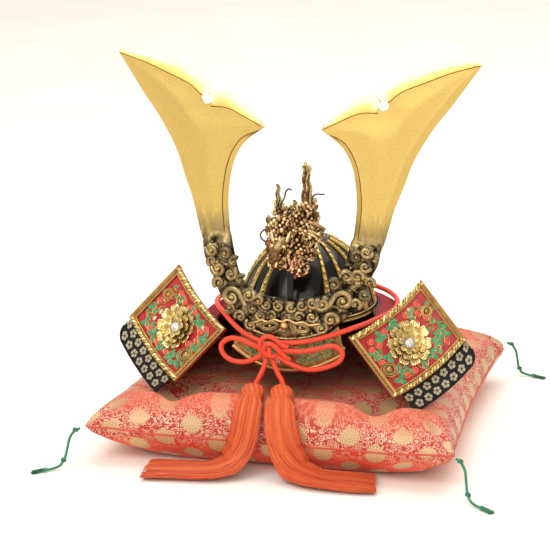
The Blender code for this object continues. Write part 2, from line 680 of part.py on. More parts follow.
def horn_outline(side):
    """The horn's edge with its heart hole and the slit that opens the hole to the valley."""
    rise = HORN_TOP_Z - HORN_FOOT_Z

    def place(share):
        return Vector((share[0] * HORN_REACH, HORN_FOOT_Z + share[1] * rise))

    def run(rows):
        return [p.xy for p in smooth([(*place(r), 0) for r in rows], 2)]

    top, lobe = run(HORN_TOP_EDGE), run(HORN_LOBE_EDGE)
    centre = place(HORN_HOLE)
    mouth = (top[-1] + lobe[0]) / 2
    up = (mouth - centre).normalized()
    across = Vector((up.y, -up.x))
    hole = []
    for k in range(1, 12):
        turn = math.tau * k / 12
        swell = HORN_HOLE_RADIUS * (1 - 0.18 * math.cos(turn) ** 2)
        hole.append(centre + up * (swell * math.cos(turn)) - across * (swell * math.sin(turn)))
    slit_left = [top[-1], centre + up * HORN_HOLE_RADIUS * 0.85 - across * HORN_SLIT / 2]
    slit_right = [centre + up * HORN_HOLE_RADIUS * 0.85 + across * HORN_SLIT / 2]
    if (top[-1] - mouth).dot(across) > 0:
        slit_left[1], slit_right[0] = slit_right[0], slit_left[1]
        hole.reverse()
    outline = top[:-1] + slit_left + hole + slit_right + lobe[:-1] + run(HORN_INNER_EDGE)
    outline += run(HORN_OUTER_EDGE)[:-1]
    return [(side * p.x, p.y) for p in outline]


def horns(material, parts):
    """The two gold horns."""
    for side, word in ((-1, "left"), (1, "right")):
        flat_solid("horn_" + word, horn_outline(side), HORN_WALL, material, parts, lambda x: 0.0)


def base_bulge(x):
    """How far the cast base stands forward of the crest's plane."""
    share = min(1.0, abs(x) / (0.7 * BASE_HALF_WIDTH))
    return -GAP - BASE_WALL - BASE_BULGE * (1 - share * share)


def crest_base(material, parts):
    """The U-shaped cast base, with the bracket that seats it on the bowl."""
    rise = BASE_TOP_Z - BASE_FOOT_Z

    def run(rows):
        spots = [(r[0] * BASE_HALF_WIDTH, BASE_FOOT_Z + r[1] * rise, 0) for r in rows]
        return [p.xy for p in smooth(spots, 2)]

    outer, inner = run(BASE_OUTER_EDGE), run(BASE_INNER_EDGE)
    bm = bmesh.new()
    rows = 4
    front, back = [], []
    half = [(along_line(inner, k / 16), along_line(outer, k / 16)) for k in range(17)]
    pairs = [(-1, pair) for pair in half[::-1]] + [(1, pair) for pair in half[1:]]
    for side, (a, b) in pairs:
        line_front, line_back = [], []
        for r in range(rows + 1):
            spot = a.lerp(b, r / rows)
            x, z = side * spot.x, spot.y
            y = crest_y(x, z) + base_bulge(x)
            line_front.append(bm.verts.new((x, y, z)))
            line_back.append(bm.verts.new((x, y + BASE_WALL, z)))
        front.append(line_front)
        back.append(line_back)
    skin(bm, front, back)
    return add("crest_base", bm, material, parts)


def along_line(line, share):
    """The point a share of the way along a line of points."""
    lengths = [0.0]
    for a, b in zip(line, line[1:]):
        lengths.append(lengths[-1] + (b - a).length)
    goal = share * lengths[-1]
    for i in range(len(line) - 1):
        if goal <= lengths[i + 1] + 1e-12:
            step = lengths[i + 1] - lengths[i]
            return line[i].lerp(line[i + 1], (goal - lengths[i]) / step)
    return line[-1]


def skin(bm, front, back):
    """Joins a front and a back grid of points into one closed plate."""
    last_i, last_j = len(front) - 1, len(front[0]) - 1
    for i in range(last_i):
        for j in range(last_j):
            bm.faces.new((front[i][j], front[i + 1][j], front[i + 1][j + 1], front[i][j + 1]))
            bm.faces.new((back[i][j], back[i][j + 1], back[i + 1][j + 1], back[i + 1][j]))
    for i in range(last_i):
        bm.faces.new((front[i][0], back[i][0], back[i + 1][0], front[i + 1][0]))
        bm.faces.new((front[i][last_j], front[i + 1][last_j], back[i + 1][last_j], back[i][last_j]))
    for j in range(last_j):
        bm.faces.new((front[0][j], front[0][j + 1], back[0][j + 1], back[0][j]))
        bm.faces.new((front[last_i][j], back[last_i][j], back[last_i][j + 1], front[last_i][j + 1]))
    bmesh.ops.recalc_face_normals(bm, faces=bm.faces)


def bracket_block():
    """A block from the back of the cast base to the front of the bowl."""
    wide, tall = BASE_BRACKET
    rear = bowl_point(0, BASE_BRACKET_Z - tall / 2, GAP + 0.2 * MM).y
    fore = crest_y(0, BASE_BRACKET_Z) + base_bulge(0) + BASE_WALL / 2
    bm = bmesh.new()
    bmesh.ops.create_cube(bm, size=1)
    bmesh.ops.scale(bm, vec=(wide, rear - fore, tall), verts=bm.verts)
    bmesh.ops.translate(bm, vec=(0, (rear + fore) / 2, BASE_BRACKET_Z), verts=bm.verts)
    return bm


def unite(target, bm, cutters):
    """Unites a bmesh with an object by a Boolean."""
    mesh = bpy.data.meshes.new(target.name + "_joined")
    bm.to_mesh(mesh)
    bm.free()
    tool = bpy.data.objects.new(f"{target.name}_tool_{len(target.modifiers)}", mesh)
    cutters.objects.link(tool)
    tool.hide_render = True
    tool.display_type = "WIRE"
    join = target.modifiers.new("join", "BOOLEAN")
    join.operation = "UNION"
    join.solver = "EXACT"
    join.object = tool


def crest_post():
    """The dark tongue that rises from behind the cast base and carries the dragon."""
    lip_z = BASE_FOOT_Z + BASE_INNER_EDGE[0][1] * (BASE_TOP_Z - BASE_FOOT_Z)
    foot_z = lip_z - POST_TUCK
    fore = crest_y(POST_WIDTH / 2, lip_z) + base_bulge(POST_WIDTH / 2) + BASE_WALL + GAP
    bm = bmesh.new()
    bmesh.ops.create_cube(bm, size=1)
    bmesh.ops.scale(bm, vec=(POST_WIDTH, POST_DEPTH, POST_TOP_Z - foot_z), verts=bm.verts)
    bmesh.ops.translate(bm, vec=(0, fore + POST_DEPTH / 2, (POST_TOP_Z + foot_z) / 2), verts=bm.verts)
    return bm


def dragon(material, parts, cutters):
    """The dragon crest's mass: blobs and spikes united, with its tongue."""
    size = DRAGON_HEIGHT
    first = None
    for name, x, fore, z, rx, ry, rz in DRAGON_BLOBS:
        bm = bmesh.new()
        bmesh.ops.create_uvsphere(bm, u_segments=10, v_segments=7, radius=1)
        bmesh.ops.scale(bm, vec=(rx * size, ry * size, rz * size), verts=bm.verts)
        centre = (x * size, DRAGON_Y - fore * size, DRAGON_FOOT_Z + z * size)
        bmesh.ops.translate(bm, vec=centre, verts=bm.verts)
        if first is None:
            first = add("dragon_crest", bm, material, parts)
        else:
            unite(first, bm, cutters)
    for x0, z0, x1, z1, r0, r1 in DRAGON_SPIKES:
        foot = Vector((x0 * size, DRAGON_Y, DRAGON_FOOT_Z + z0 * size))
        tip = Vector((x1 * size, DRAGON_Y, DRAGON_FOOT_Z + z1 * size))
        bm = bmesh.new()
        bmesh.ops.create_cone(bm, cap_ends=True, segments=8, radius1=r0 * size, radius2=r1 * size,
                              depth=(tip - foot).length)
        turn = (tip - foot).to_track_quat("Z", "Y").to_matrix()
        bmesh.ops.rotate(bm, matrix=turn, verts=bm.verts)
        bmesh.ops.translate(bm, vec=(foot + tip) / 2, verts=bm.verts)
        unite(first, bm, cutters)
    unite(first, crest_post(), cutters)


def knot(material, parts):
    """The knot of the bow, a flattened ball of wound cord."""
    bm = bmesh.new()
    bmesh.ops.create_uvsphere(bm, u_segments=12, v_segments=8, radius=KNOT_RADIUS)
    bmesh.ops.scale(bm, vec=(1, 0.62, 0.95), verts=bm.verts)
    bmesh.ops.translate(bm, vec=KNOT_CENTRE, verts=bm.verts)
    add("bow_knot", bm, material, parts)


def chin_tassel(name, rows, material, parts):
    """A tassel from neck to ends, its outline scalloped into locks."""
    rings = []
    centres = [Vector(r[:3]) * MM for r in rows]
    for i, row in enumerate(rows):
        half_width, half_thick, turn = row[3] * MM, row[4] * MM, math.radians(row[5])
        after, before = centres[min(i + 1, len(rows) - 1)], centres[max(i - 1, 0)]
        along = (after - before).normalized()
        across = Vector((math.cos(turn), math.sin(turn), 0))
        across = (across - along * across.dot(along)).normalized()
        up = across.cross(along)
        if up.z < 0:
            up = -up
        lobes = 0.0 if i < 4 else 0.16
        ring = []
        for k in range(TASSEL_SIDES):
            t = math.tau * k / TASSEL_SIDES
            dent = 1 - lobes * (k % 2)
            ring.append(centres[i] + across * (half_width * math.cos(t))
                        + up * (half_thick * dent * math.sin(t)))
        rings.append(ring)
    add(name, loft_mesh(rings), material, parts)


def main():
    clear_scene()
    parts = bpy.data.collections.new("kabuto_on_cushion")
    cutters = bpy.data.collections.new("cutters")
    for group in (parts, cutters):
        bpy.context.scene.collection.children.link(group)
    brocade = finish("red_brocade", "#D8442F", 0.7)
    green_silk = finish("green_silk", "#1F7A50", 0.6)
    black_lacquer = finish("black_lacquer", "#120C0C", 0.2)
    plain_lacquer = finish("plain_lacquer", "#17130F", 0.35)
    rib_gilt = finish("rib_gilt", "#9C8242", 0.4, 1.0)
    visor_enamel = finish("visor_enamel", "#2E9A63", 0.4)
    rim_gold = finish("rim_gold", "#C9A94F", 0.35, 1.0)
    panel_red = finish("panel_red", "#C8323A", 0.4)
    peony_gold = finish("peony_gold", "#E8CF86", 0.35, 1.0)
    strip_leather = finish("strip_leather", "#17130F", 0.55)
    horn_gold = finish("horn_gold", "#E3C36B", 0.35, 1.0)
    antique_bronze = finish("antique_bronze", "#6B5A3C", 0.45, 1.0)
    dragon_bronze = finish("dragon_bronze", "#7A5232", 0.4, 1.0)
    vermilion_cord = finish("vermilion_cord", "#F0452C", 0.6)
    orange_silk = finish("orange_silk", "#F2632A", 0.55)

    cushion(brocade, parts)
    corner_cords(green_silk, parts)
    bowl(black_lacquer, parts)
    rim_band(rib_gilt, parts)
    ribs(rib_gilt, parts)
    crown_plate(rib_gilt, parts)
    visor(visor_enamel, rim_gold, parts)
    lames(plain_lacquer, parts)
    turn_backs((panel_red, rim_gold, peony_gold, strip_leather), parts)
    horns(horn_gold, parts)
    unite(crest_base(antique_bronze, parts), bracket_block(), cutters)
    dragon(dragon_bronze, parts, cutters)
    tube("chin_cord_loop", CHIN_LOOP_ROUTE, CORD_DIAMETER, vermilion_cord, parts)
    tube("bow_loop_left", BOW_LEFT_ROUTE, CORD_DIAMETER, vermilion_cord, parts)
    tube("bow_loop_right", BOW_RIGHT_ROUTE, CORD_DIAMETER, vermilion_cord, parts)
    tube("cord_tail_left", TAIL_LEFT_ROUTE, CORD_DIAMETER, vermilion_cord, parts)
    tube("cord_tail_right", TAIL_RIGHT_ROUTE, CORD_DIAMETER, vermilion_cord, parts)
    knot(vermilion_cord, parts)
    chin_tassel("chin_tassel_left", TASSEL_LEFT, orange_silk, parts)
    chin_tassel("chin_tassel_right", TASSEL_RIGHT, orange_silk, parts)


main()
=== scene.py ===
"""The looks of a kabuto, a samurai helmet, on its brocade cushion, in metres, +Z up, front at -Y."""

import random
from functools import partial
from math import asin, atan2, copysign, cos, degrees, hypot, pi, radians, sin, sqrt, tau

import bmesh
import bpy
from bpy.props import FloatProperty, FloatVectorProperty, PointerProperty
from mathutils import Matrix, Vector, noise
from mathutils.bvhtree import BVHTree
from mathutils.geometry import delaunay_2d_cdt


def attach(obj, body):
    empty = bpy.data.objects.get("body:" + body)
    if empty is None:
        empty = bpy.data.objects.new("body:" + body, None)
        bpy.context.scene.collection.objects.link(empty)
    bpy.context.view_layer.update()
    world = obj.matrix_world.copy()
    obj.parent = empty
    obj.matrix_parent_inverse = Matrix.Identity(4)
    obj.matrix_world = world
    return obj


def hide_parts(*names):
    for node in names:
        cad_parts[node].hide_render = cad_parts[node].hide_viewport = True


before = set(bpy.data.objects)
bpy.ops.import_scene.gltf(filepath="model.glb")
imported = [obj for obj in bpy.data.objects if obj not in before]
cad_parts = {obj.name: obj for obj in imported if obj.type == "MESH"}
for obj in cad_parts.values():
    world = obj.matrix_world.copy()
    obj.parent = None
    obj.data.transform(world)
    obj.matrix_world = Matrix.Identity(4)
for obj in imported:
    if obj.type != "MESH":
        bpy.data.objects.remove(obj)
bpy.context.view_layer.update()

bl_info = {
    "name": "Kabuto on a cushion",
    "version": (1, 0, 0),
    "blender": (4, 5, 0),
    "location": "View3D > Sidebar > Kabuto",
    "description": "Builds the horns, crest, turn-backs, cords, tassels and brocade cushion of a kabuto",
    "category": "Add Mesh",
}

# Every length below is in millimetres, and becomes metres when a piece is built.
MM = 0.001
TO_MM = 1000

# Camera: where it stands, where it looks, and its focal length on a 36 mm sensor
CAMERA_PLACE = (510, -2310, 820)
CAMERA_AIM = (-52, 34, 169)
CAMERA_FOCAL = 130.9
SENSOR_WIDTH = 36.0

SIDES = ((-1, "left"), (1, "right"))
UP = Vector((0, 0, 1))
# The turn between neighbours that spreads studs evenly over a round surface
GOLDEN_TURN = 2.39996

# Bowl, as in the part's source
BOWL_HALF = (83, 93, 105)
BOWL_CENTRE = (0, -10, 130)
BOWL_RIM_Z = 146
RIB_ANGLES = (32, 50, 72, 94, 116, 138, 160)
RIB_FOOT_Z = 154
CROWN_RADIUS = 17
HOOP_POINTS = 96

# Visor and neck guard
VISOR_HALF_WIDTH = 67
VISOR_FRONT_Y = -129
VISOR_ROOT_Z = 144.9
VISOR_DROP = 46
VISOR_DEPTH = 50
SKIRT_TOP_Z = 150
SKIRT_FOOT_Z = 68.4
SKIRT_SIDE_FOOT = 168
SKIRT_REAR_FOOT = 147
LACING_COLUMNS = 84
SKIRT_PROFILE = ((0, 0), (0.22, 0.07), (0.45, 0.2), (0.66, 0.4), (0.85, 0.68), (1, 1))

# Turn-backs: fold line, reach and border
FOLD_TOP = Vector((72, -125, 142))
FOLD_FOOT = Vector((130, -144, 78))
PANEL_REACH = Vector((74, 61, 58))
PANEL_BOW = 5
PANEL_SAG = 6
PANEL_BORDER = 8
PEONY_RADIUS = 27
STRIP_SHOW = 26
STRIP_TUCK = 9
STRIP_CORNER = 13

# Crest: the horns' plane, the horns' edges and the cast base's edges
CREST_PLANE_Y = -118.9
CREST_SWEEP = 0.081
CREST_LEAN = 0.0775
HORN_REACH = 216
HORN_FOOT_Z = 222
HORN_TOP_Z = 463
BASE_HALF_WIDTH = 106
BASE_FOOT_Z = 133
BASE_TOP_Z = 262
BASE_BULGE = 8
BASE_WALL = 6
HORN_TOP_EDGE = (
    (1, 0.992), (0.94, 1), (0.88, 0.998), (0.796, 0.987), (0.706, 0.97), (0.602, 0.932), (0.523, 0.885),
    (0.462, 0.828),
)
HORN_LOBE_EDGE = ((0.446, 0.828), (0.373, 0.822), (0.292, 0.784), (0.22, 0.732), (0.153, 0.662))
HORN_INNER_EDGE = (
    (0.153, 0.662), (0.25, 0.598), (0.306, 0.531), (0.338, 0.448), (0.354, 0.34), (0.354, 0.249), (0.34, 0.12),
    (0.33, 0),
)
HORN_OUTER_EDGE = (
    (0.45, 0), (0.507, 0.116), (0.556, 0.282), (0.602, 0.394), (0.657, 0.531), (0.75, 0.676), (0.852, 0.8),
    (1, 0.992),
)
HORN_HOLE = (0.486, 0.782)
HORN_HOLE_RADIUS = 6.5
HORN_SLIT = 1.2
BASE_OUTER_EDGE = (
    (0, 0), (0.15, 0.004), (0.37, 0.045), (0.59, 0.18), (0.75, 0.335), (0.82, 0.435), (0.91, 0.61), (0.975, 0.72),
    (1, 0.84), (1.02, 1),
)
BASE_INNER_EDGE = ((0, 0.395), (0.24, 0.41), (0.42, 0.455), (0.56, 0.575), (0.63, 0.75), (0.67, 0.9), (0.68, 1))

# Cord routes; those of the chin loop, the tails and the corners are as in the part's source
CHIN_LOOP_ROUTE = (
    (-25.2, -142, 136.4), (-37, -139, 139), (-52, -132, 144), (-66, -124, 152), (-79, -111, 159), (-91, -92, 161),
    (-100, -66, 158), (-107, -36, 154), (-109, -5, 151), (-103, 30, 150), (-86, 62, 150), (-57, 86, 151),
    (-20, 97, 152), (20, 97, 152), (57, 86, 151), (86, 62, 150), (103, 30, 150), (109, -5, 150), (106, -40, 151),
    (97, -75, 153), (88.1, -98.2, 152.9), (76, -116.2, 151.9), (58, -129, 147), (38, -138, 142), (18, -142, 138.5),
    (-4.8, -142, 136.4),
)
BOW_LEFT_ROUTE = (
    (-26.4, -146, 129.6), (-37, -147, 134), (-50, -146, 138.5), (-64, -143, 138), (-74.5, -141, 129),
    (-72, -142, 118), (-60, -145, 111.5), (-44, -147, 112), (-32, -148, 117), (-23.5, -148, 123.3),
)
BOW_RIGHT_ROUTE = (
    (-4.3, -147, 129.6), (8, -149, 129.5), (24, -149, 130), (44, -147, 134.5), (60, -144, 137.5), (70.5, -143, 130),
    (66, -145, 119), (48, -148, 111), (28, -150, 109), (9, -150, 115), (-6.8, -149, 123.5),
)
TAIL_LEFT_ROUTE = (
    (-18.5, -147.5, 119.8), (-20, -151.5, 111), (-22, -157, 104), (-24, -164, 98.5), (-25, -172, 95),
    (-25, -179.4, 92.6),
)
TAIL_RIGHT_ROUTE = (
    (-11.5, -147.5, 119.8), (-8, -151.5, 112), (-3, -158, 105), (3, -165, 99.5), (7, -173, 96), (8.9, -179.4, 93.6),
)
CORNER_FRONT_ROUTE = (
    (219, -236, 46), (225, -239, 43), (230, -242, 35), (232, -245, 24), (234, -249, 13), (238, -254, 5.5),
    (244, -260, 3.2), (251, -265, 2.4),
)
CORNER_REAR_ROUTE = (
    (219.6, 216, 46), (226, 219, 42), (231, 221, 33), (233, 222, 22), (235, 222, 12), (239, 221, 5.5),
    (246, 219, 3.2), (254, 217, 2.4),
)
# Chin-cord tassels: centre, half width, half thickness, turn of the width in degrees
TASSEL_LEFT = (
    (-25, -180, 93, 4, 4, 0), (-25, -183, 92, 11.5, 7.5, 0), (-25, -189, 88.5, 13.5, 8.5, 0),
    (-25, -195, 84.5, 11, 7, 0), (-25.5, -202, 79, 15, 6.5, 0), (-26.5, -212.5, 66, 15.5, 6, 0),
    (-28, -218.5, 49, 16, 6, -6), (-33, -224, 31, 18, 6, -18), (-44, -230, 16, 20, 6, -38),
    (-64, -235, 8.5, 22, 5.6, -62), (-92, -238, 7, 24, 5.2, -78), (-120, -239, 6, 26, 4.6, -82),
    (-139, -240, 5, 27, 3.8, -84),
)
TASSEL_RIGHT = (
    (9, -180, 94, 4, 4, 0), (9, -183, 93, 11, 7.5, 0), (9, -189, 89.5, 13, 8.5, 0), (9, -195, 85, 11.5, 7, 0),
    (10, -202, 79, 16.5, 6.5, 0), (12.5, -212.5, 66, 17.5, 6, 0), (17, -218.5, 49, 18, 6, 6),
    (24, -224, 31, 18.5, 6, 18), (37, -229, 16, 20, 6, 38), (58, -232, 8.5, 22, 5.6, 66),
    (84, -232, 7, 24, 5.2, 86), (108, -229, 6, 26, 4.6, 98), (127, -225, 5, 27, 3.8, 102),
)
TASSEL_NECK = 3.0


# Shared tools


def linear(hex_colour):
    """An sRGB hex colour as linear red, green, blue and alpha."""
    out = []
    for i in (1, 3, 5):
        c = int(hex_colour[i : i + 2], 16) / 255
        out.append(c / 12.92 if c <= 0.04045 else ((c + 0.055) / 1.055) ** 2.4)
    return (*out, 1.0)


def smooth(points, per_span):
    """Points on a smooth curve through the given ones, per_span to each stretch."""
    pts = [Vector(p) for p in points]
    ends = [2 * pts[0] - pts[1], *pts, 2 * pts[-1] - pts[-2]]
    out = []
    for i in range(1, len(ends) - 2):
        a, b, c, d = ends[i - 1 : i + 3]
        for k in range(per_span):
            t = k / per_span
            out.append(
                0.5 * (2 * b + (c - a) * t + (2 * a - 5 * b + 4 * c - d) * t * t
                       + (3 * b - a - 3 * c + d) * t ** 3)
            )
    out.append(pts[-1])
    return out


def even(points, step):
    """The same line with points about a step apart."""
    lengths = [0.0]
    for a, b in zip(points, points[1:]):
        lengths.append(lengths[-1] + (b - a).length)
    count = max(2, round(lengths[-1] / step))
    out, i = [], 0
    for k in range(count + 1):
        goal = lengths[-1] * k / count
        while i < len(points) - 2 and goal > lengths[i + 1]:
            i += 1
        span = lengths[i + 1] - lengths[i]
        out.append(points[i].lerp(points[i + 1], (goal - lengths[i]) / span if span else 0.0))
    return out


def length_of(points):
    return sum((b - a).length for a, b in zip(points, points[1:]))


def clamp(value, low=0.0, high=1.0):
    return min(high, max(low, value))


def smoothstep(low, high, value):
    t = clamp((value - low) / (high - low))
    return t * t * (3 - 2 * t)


def table_value(rows, share):
    """The second column of a two-column table, read at a share of the first."""
    for (a, va), (b, vb) in zip(rows, rows[1:]):
        if share <= b:
            return va + (vb - va) * (share - a) / (b - a)
    return rows[-1][1]


def around(centre, across, other, size, count):
    """Points of a ring about a centre, in the plane of two ways."""
    turns = [tau * k / count for k in range(count)]
    return [centre + across * (size * cos(turn)) + other * (size * sin(turn)) for turn in turns]


def ring_on(place, x, y, reach, tall, lift, count):
    """A closed ring of points on a surface that place gives."""
    turns = [tau * k / count for k in range(count + 1)]
    return [place(x + reach * cos(turn), y + tall * sin(turn), lift) for turn in turns]


def rippled(height, pace):
    """A radius factor for a sweep that rises and falls along its run."""
    return lambda turn, run: 1 + height * sin(run * pace)


def put(name, data, place=(0, 0, 0)):
    """A new object in the scene, at a place in millimetres."""
    thing = bpy.data.objects.new(name, data)
    thing.location = Vector(place) * MM
    bpy.context.scene.collection.objects.link(thing)
    return thing


class Shape:
    """Gathers points, faces, a finish number per face and a relief value per point."""

    def __init__(self):
        self.points, self.faces, self.finish, self.relief = [], [], [], []

    def take(self, points, faces, finish=0, relief=0.5):
        first = len(self.points)
        self.points += points
        self.faces += [[first + i for i in face] for face in faces]
        self.finish += [finish] * len(faces)
        self.relief += relief if isinstance(relief, list) else [relief] * len(points)

    def face(self, corners, finish=0):
        self.faces.append(list(corners))
        self.finish.append(finish)

    def grid(self, rows, finish=0, relief=0.5, closed=False):
        """A sheet through rows of points of equal count."""
        wide = len(rows[0])
        points = [p for row in rows for p in row]
        faces = []
        for i in range(len(rows) - 1):
            for j in range(wide if closed else wide - 1):
                k = (j + 1) % wide
                faces.append((i * wide + j, i * wide + k, (i + 1) * wide + k, (i + 1) * wide + j))
        if isinstance(relief, list) and isinstance(relief[0], list):
            relief = [r for row in relief for r in row]
        self.take(points, faces, finish, relief)

    def slab(self, rows, wall, finish=0, relief=0.5):
        """A closed sheet with a wall behind its rows; wall is the way to the back."""
        loops = [row + [p + wall for p in row[::-1]] for row in rows]
        self.grid(loops, finish, relief, closed=True)
        wide = len(loops[0])
        first = len(self.points) - len(loops) * wide
        half = wide // 2
        for base, flip in ((first, False), (first + (len(loops) - 1) * wide, True)):
            for j in range(half - 1):
                face = [base + j, base + j + 1, base + wide - 2 - j, base + wide - 1 - j]
                self.face(face if flip else face[::-1], finish)

    def sweep(self, path, radii, sides=8, finish=0, relief=0.5, up=None, flat=1.0, bump=None):
        """A closed tube along a path. bump gives a radius factor at a turn and a run."""
        path = [Vector(p) for p in path]
        count = len(path)
        radii = radii if isinstance(radii, (list, tuple)) else [radii] * count
        across, run, rings = None, 0.0, []
        for i, place in enumerate(path):
            ahead = (path[min(i + 1, count - 1)] - path[max(i - 1, 0)]).normalized()
            if i:
                run += (place - path[i - 1]).length
            if up is not None:
                across = ahead.cross(up)
            elif across is None:
                across = ahead.orthogonal()
            across = (across - ahead * across.dot(ahead)).normalized()
            other = across.cross(ahead)
            ring = []
            for k in range(sides):
                turn = tau * k / sides
                size = radii[i] * (bump(turn, run) if bump else 1.0)
                ring.append(place + across * (size * cos(turn)) + other * (flat * size * sin(turn)))
            rings.append(ring)
        first = len(self.points)
        self.grid(rings, finish, relief, closed=True)
        last = first + (count - 1) * sides
        self.face(reversed(range(first, first + sides)), finish)
        self.face(range(last, last + sides), finish)

    def dome(self, centre, normal, radius, height, finish=0, relief=0.9, sides=10, rings=3):
        """A rounded stud with its foot sunk a little into what it stands on."""
        centre, normal = Vector(centre), Vector(normal).normalized()
        across = normal.orthogonal().normalized()
        other = normal.cross(across)
        rows = []
        for i in range(-1, rings):
            rise = pi / 2 * max(i, 0) / rings
            size = radius * cos(rise)
            level = height * sin(rise) if i >= 0 else -0.4 * height
            rows.append(around(centre + normal * level, across, other, size, sides))
        first = len(self.points)
        self.grid(rows, finish, relief, closed=True)
        self.points.append(centre + normal * height)
        self.relief.append(relief)
        last = first + rings * sides
        for k in range(sides):
            self.face((last + k, last + (k + 1) % sides, last + sides), finish)
        self.face(reversed(range(first, first + sides)), finish)

    def build(self, name, finishes, replaces=(), angle=50):
        """The gathered shape as an object that rides on the helmet."""
        mesh = bpy.data.meshes.new(name)
        mesh.from_pydata([p * MM for p in self.points], [], self.faces)
        for finish in finishes:
            mesh.materials.append(bpy.data.materials[finish])
        mesh.polygons.foreach_set("material_index", self.finish)
        mesh.attributes.new("relief", "FLOAT", "POINT").data.foreach_set("value", self.relief)
        bm = bmesh.new()
        bm.from_mesh(mesh)
        bmesh.ops.recalc_face_normals(bm, faces=bm.faces)
        bm.to_mesh(mesh)
        bm.free()
        mesh.shade_smooth()
        mesh.set_sharp_from_angle(angle=radians(angle))
        thing = put(name, mesh)
        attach(thing, "root")
        if replaces:
            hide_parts(*replaces)
        return thing


# Finishes


def node(tree, kind, settings=None, feeds=None, out=0):
    """Adds one shader node with its settings and links, and gives back one of its outputs."""
    made = tree.nodes.new("ShaderNode" + kind)
    for key, value in (settings or {}).items():
        if key == "stops":
            stops = made.color_ramp.elements
            while len(stops) < len(value):
                stops.new(1.0)
            for stop, (place, colour) in zip(stops, value):
                stop.position = place
                stop.color = linear(colour) if isinstance(colour, str) else (*colour, 1.0)
        else:
            setattr(made, key, value)
    for key, value in (feeds or {}).items():
        if isinstance(value, bpy.types.NodeSocket):
            tree.links.new(value, made.inputs[key])
        else:
            made.inputs[key].default_value = value
    return made.outputs[out]


def blend(colour, other, share):
    """A linear colour, moved by a share of the way toward an sRGB one."""
    return tuple(a + (b - a) * share for a, b in zip(colour, linear(other)))


def new_finish(name, fixed):
    """A named material, and its shader's tree and sockets; fixed values are the same all over."""
    material = bpy.data.materials.new(name)
    material.use_nodes = True
    tree = material.node_tree
    shader = tree.nodes["Principled BSDF"]
    for key, value in fixed.items():
        shader.inputs[key].default_value = value
    return tree, shader.inputs


def place_in_mm(tree):
    """The point's place in the row frame, in millimetres."""
    place = node(tree, "NewGeometry", out="Position")
    return node(tree, "VectorMath", {"operation": "SCALE"}, {0: place, "Scale": TO_MM})


def relief_wear_and_shade(tree, pattern, strength):
    """How high the point stands on its piece, from 0 to 1, made uneven by a pattern; finishes darken where it is low,
    which on silk is painted shade.
    """
    relief = node(tree, "Attribute", {"attribute_name": "relief"}, out="Fac")
    level = node(tree, "Math", {"operation": "MULTIPLY_ADD"}, {0: pattern, 1: strength, 2: -strength / 2})
    return node(tree, "Math", {"operation": "ADD", "use_clamp": True}, {0: relief, 1: level})


def complete(tree, shader, colour, dull=None, height=None, strength=0.5, depth_mm=0.0):
    """Gives the shader its colour, its roughness where that varies, and its fine bumps."""
    tree.links.new(colour, shader["Base Color"])
    if dull is not None:
        tree.links.new(dull, shader["Roughness"])
    if height is not None:
        bump = node(tree, "Bump", {}, {"Height": height, "Strength": strength, "Distance": depth_mm * MM})
        tree.links.new(bump, shader["Normal"])


def cast_metal(name, recess, middle, bright, roughness, grain_mm, depth_mm):
    """Cast brass with a dark wash left in its hollows and its high points rubbed bright."""
    tree, shader = new_finish(name, {"Metallic": 1.0})
    place = place_in_mm(tree)
    cloud = node(tree, "TexNoise", {}, {"Vector": place, "Scale": 1 / (6 * grain_mm), "Detail": 5.0})
    grit = node(tree, "TexNoise", {}, {"Vector": place, "Scale": 1 / grain_mm, "Detail": 4.0})
    level = relief_wear_and_shade(tree, cloud, 0.9)
    grain = node(tree, "Math", {"operation": "MULTIPLY_ADD"}, {0: grit, 1: 0.5, 2: -0.25})
    level = node(tree, "Math", {"operation": "ADD", "use_clamp": True}, {0: level, 1: grain})
    stops = [(0.0, recess), (0.16, recess), (0.5, middle), (0.95, bright)]
    colour = node(tree, "ValToRGB", {"stops": stops}, {"Fac": level})
    dull = node(tree, "MapRange", {}, {"Value": level, "To Min": roughness + 0.25, "To Max": roughness})
    complete(tree, shader, colour, dull, grit, 0.5, depth_mm)


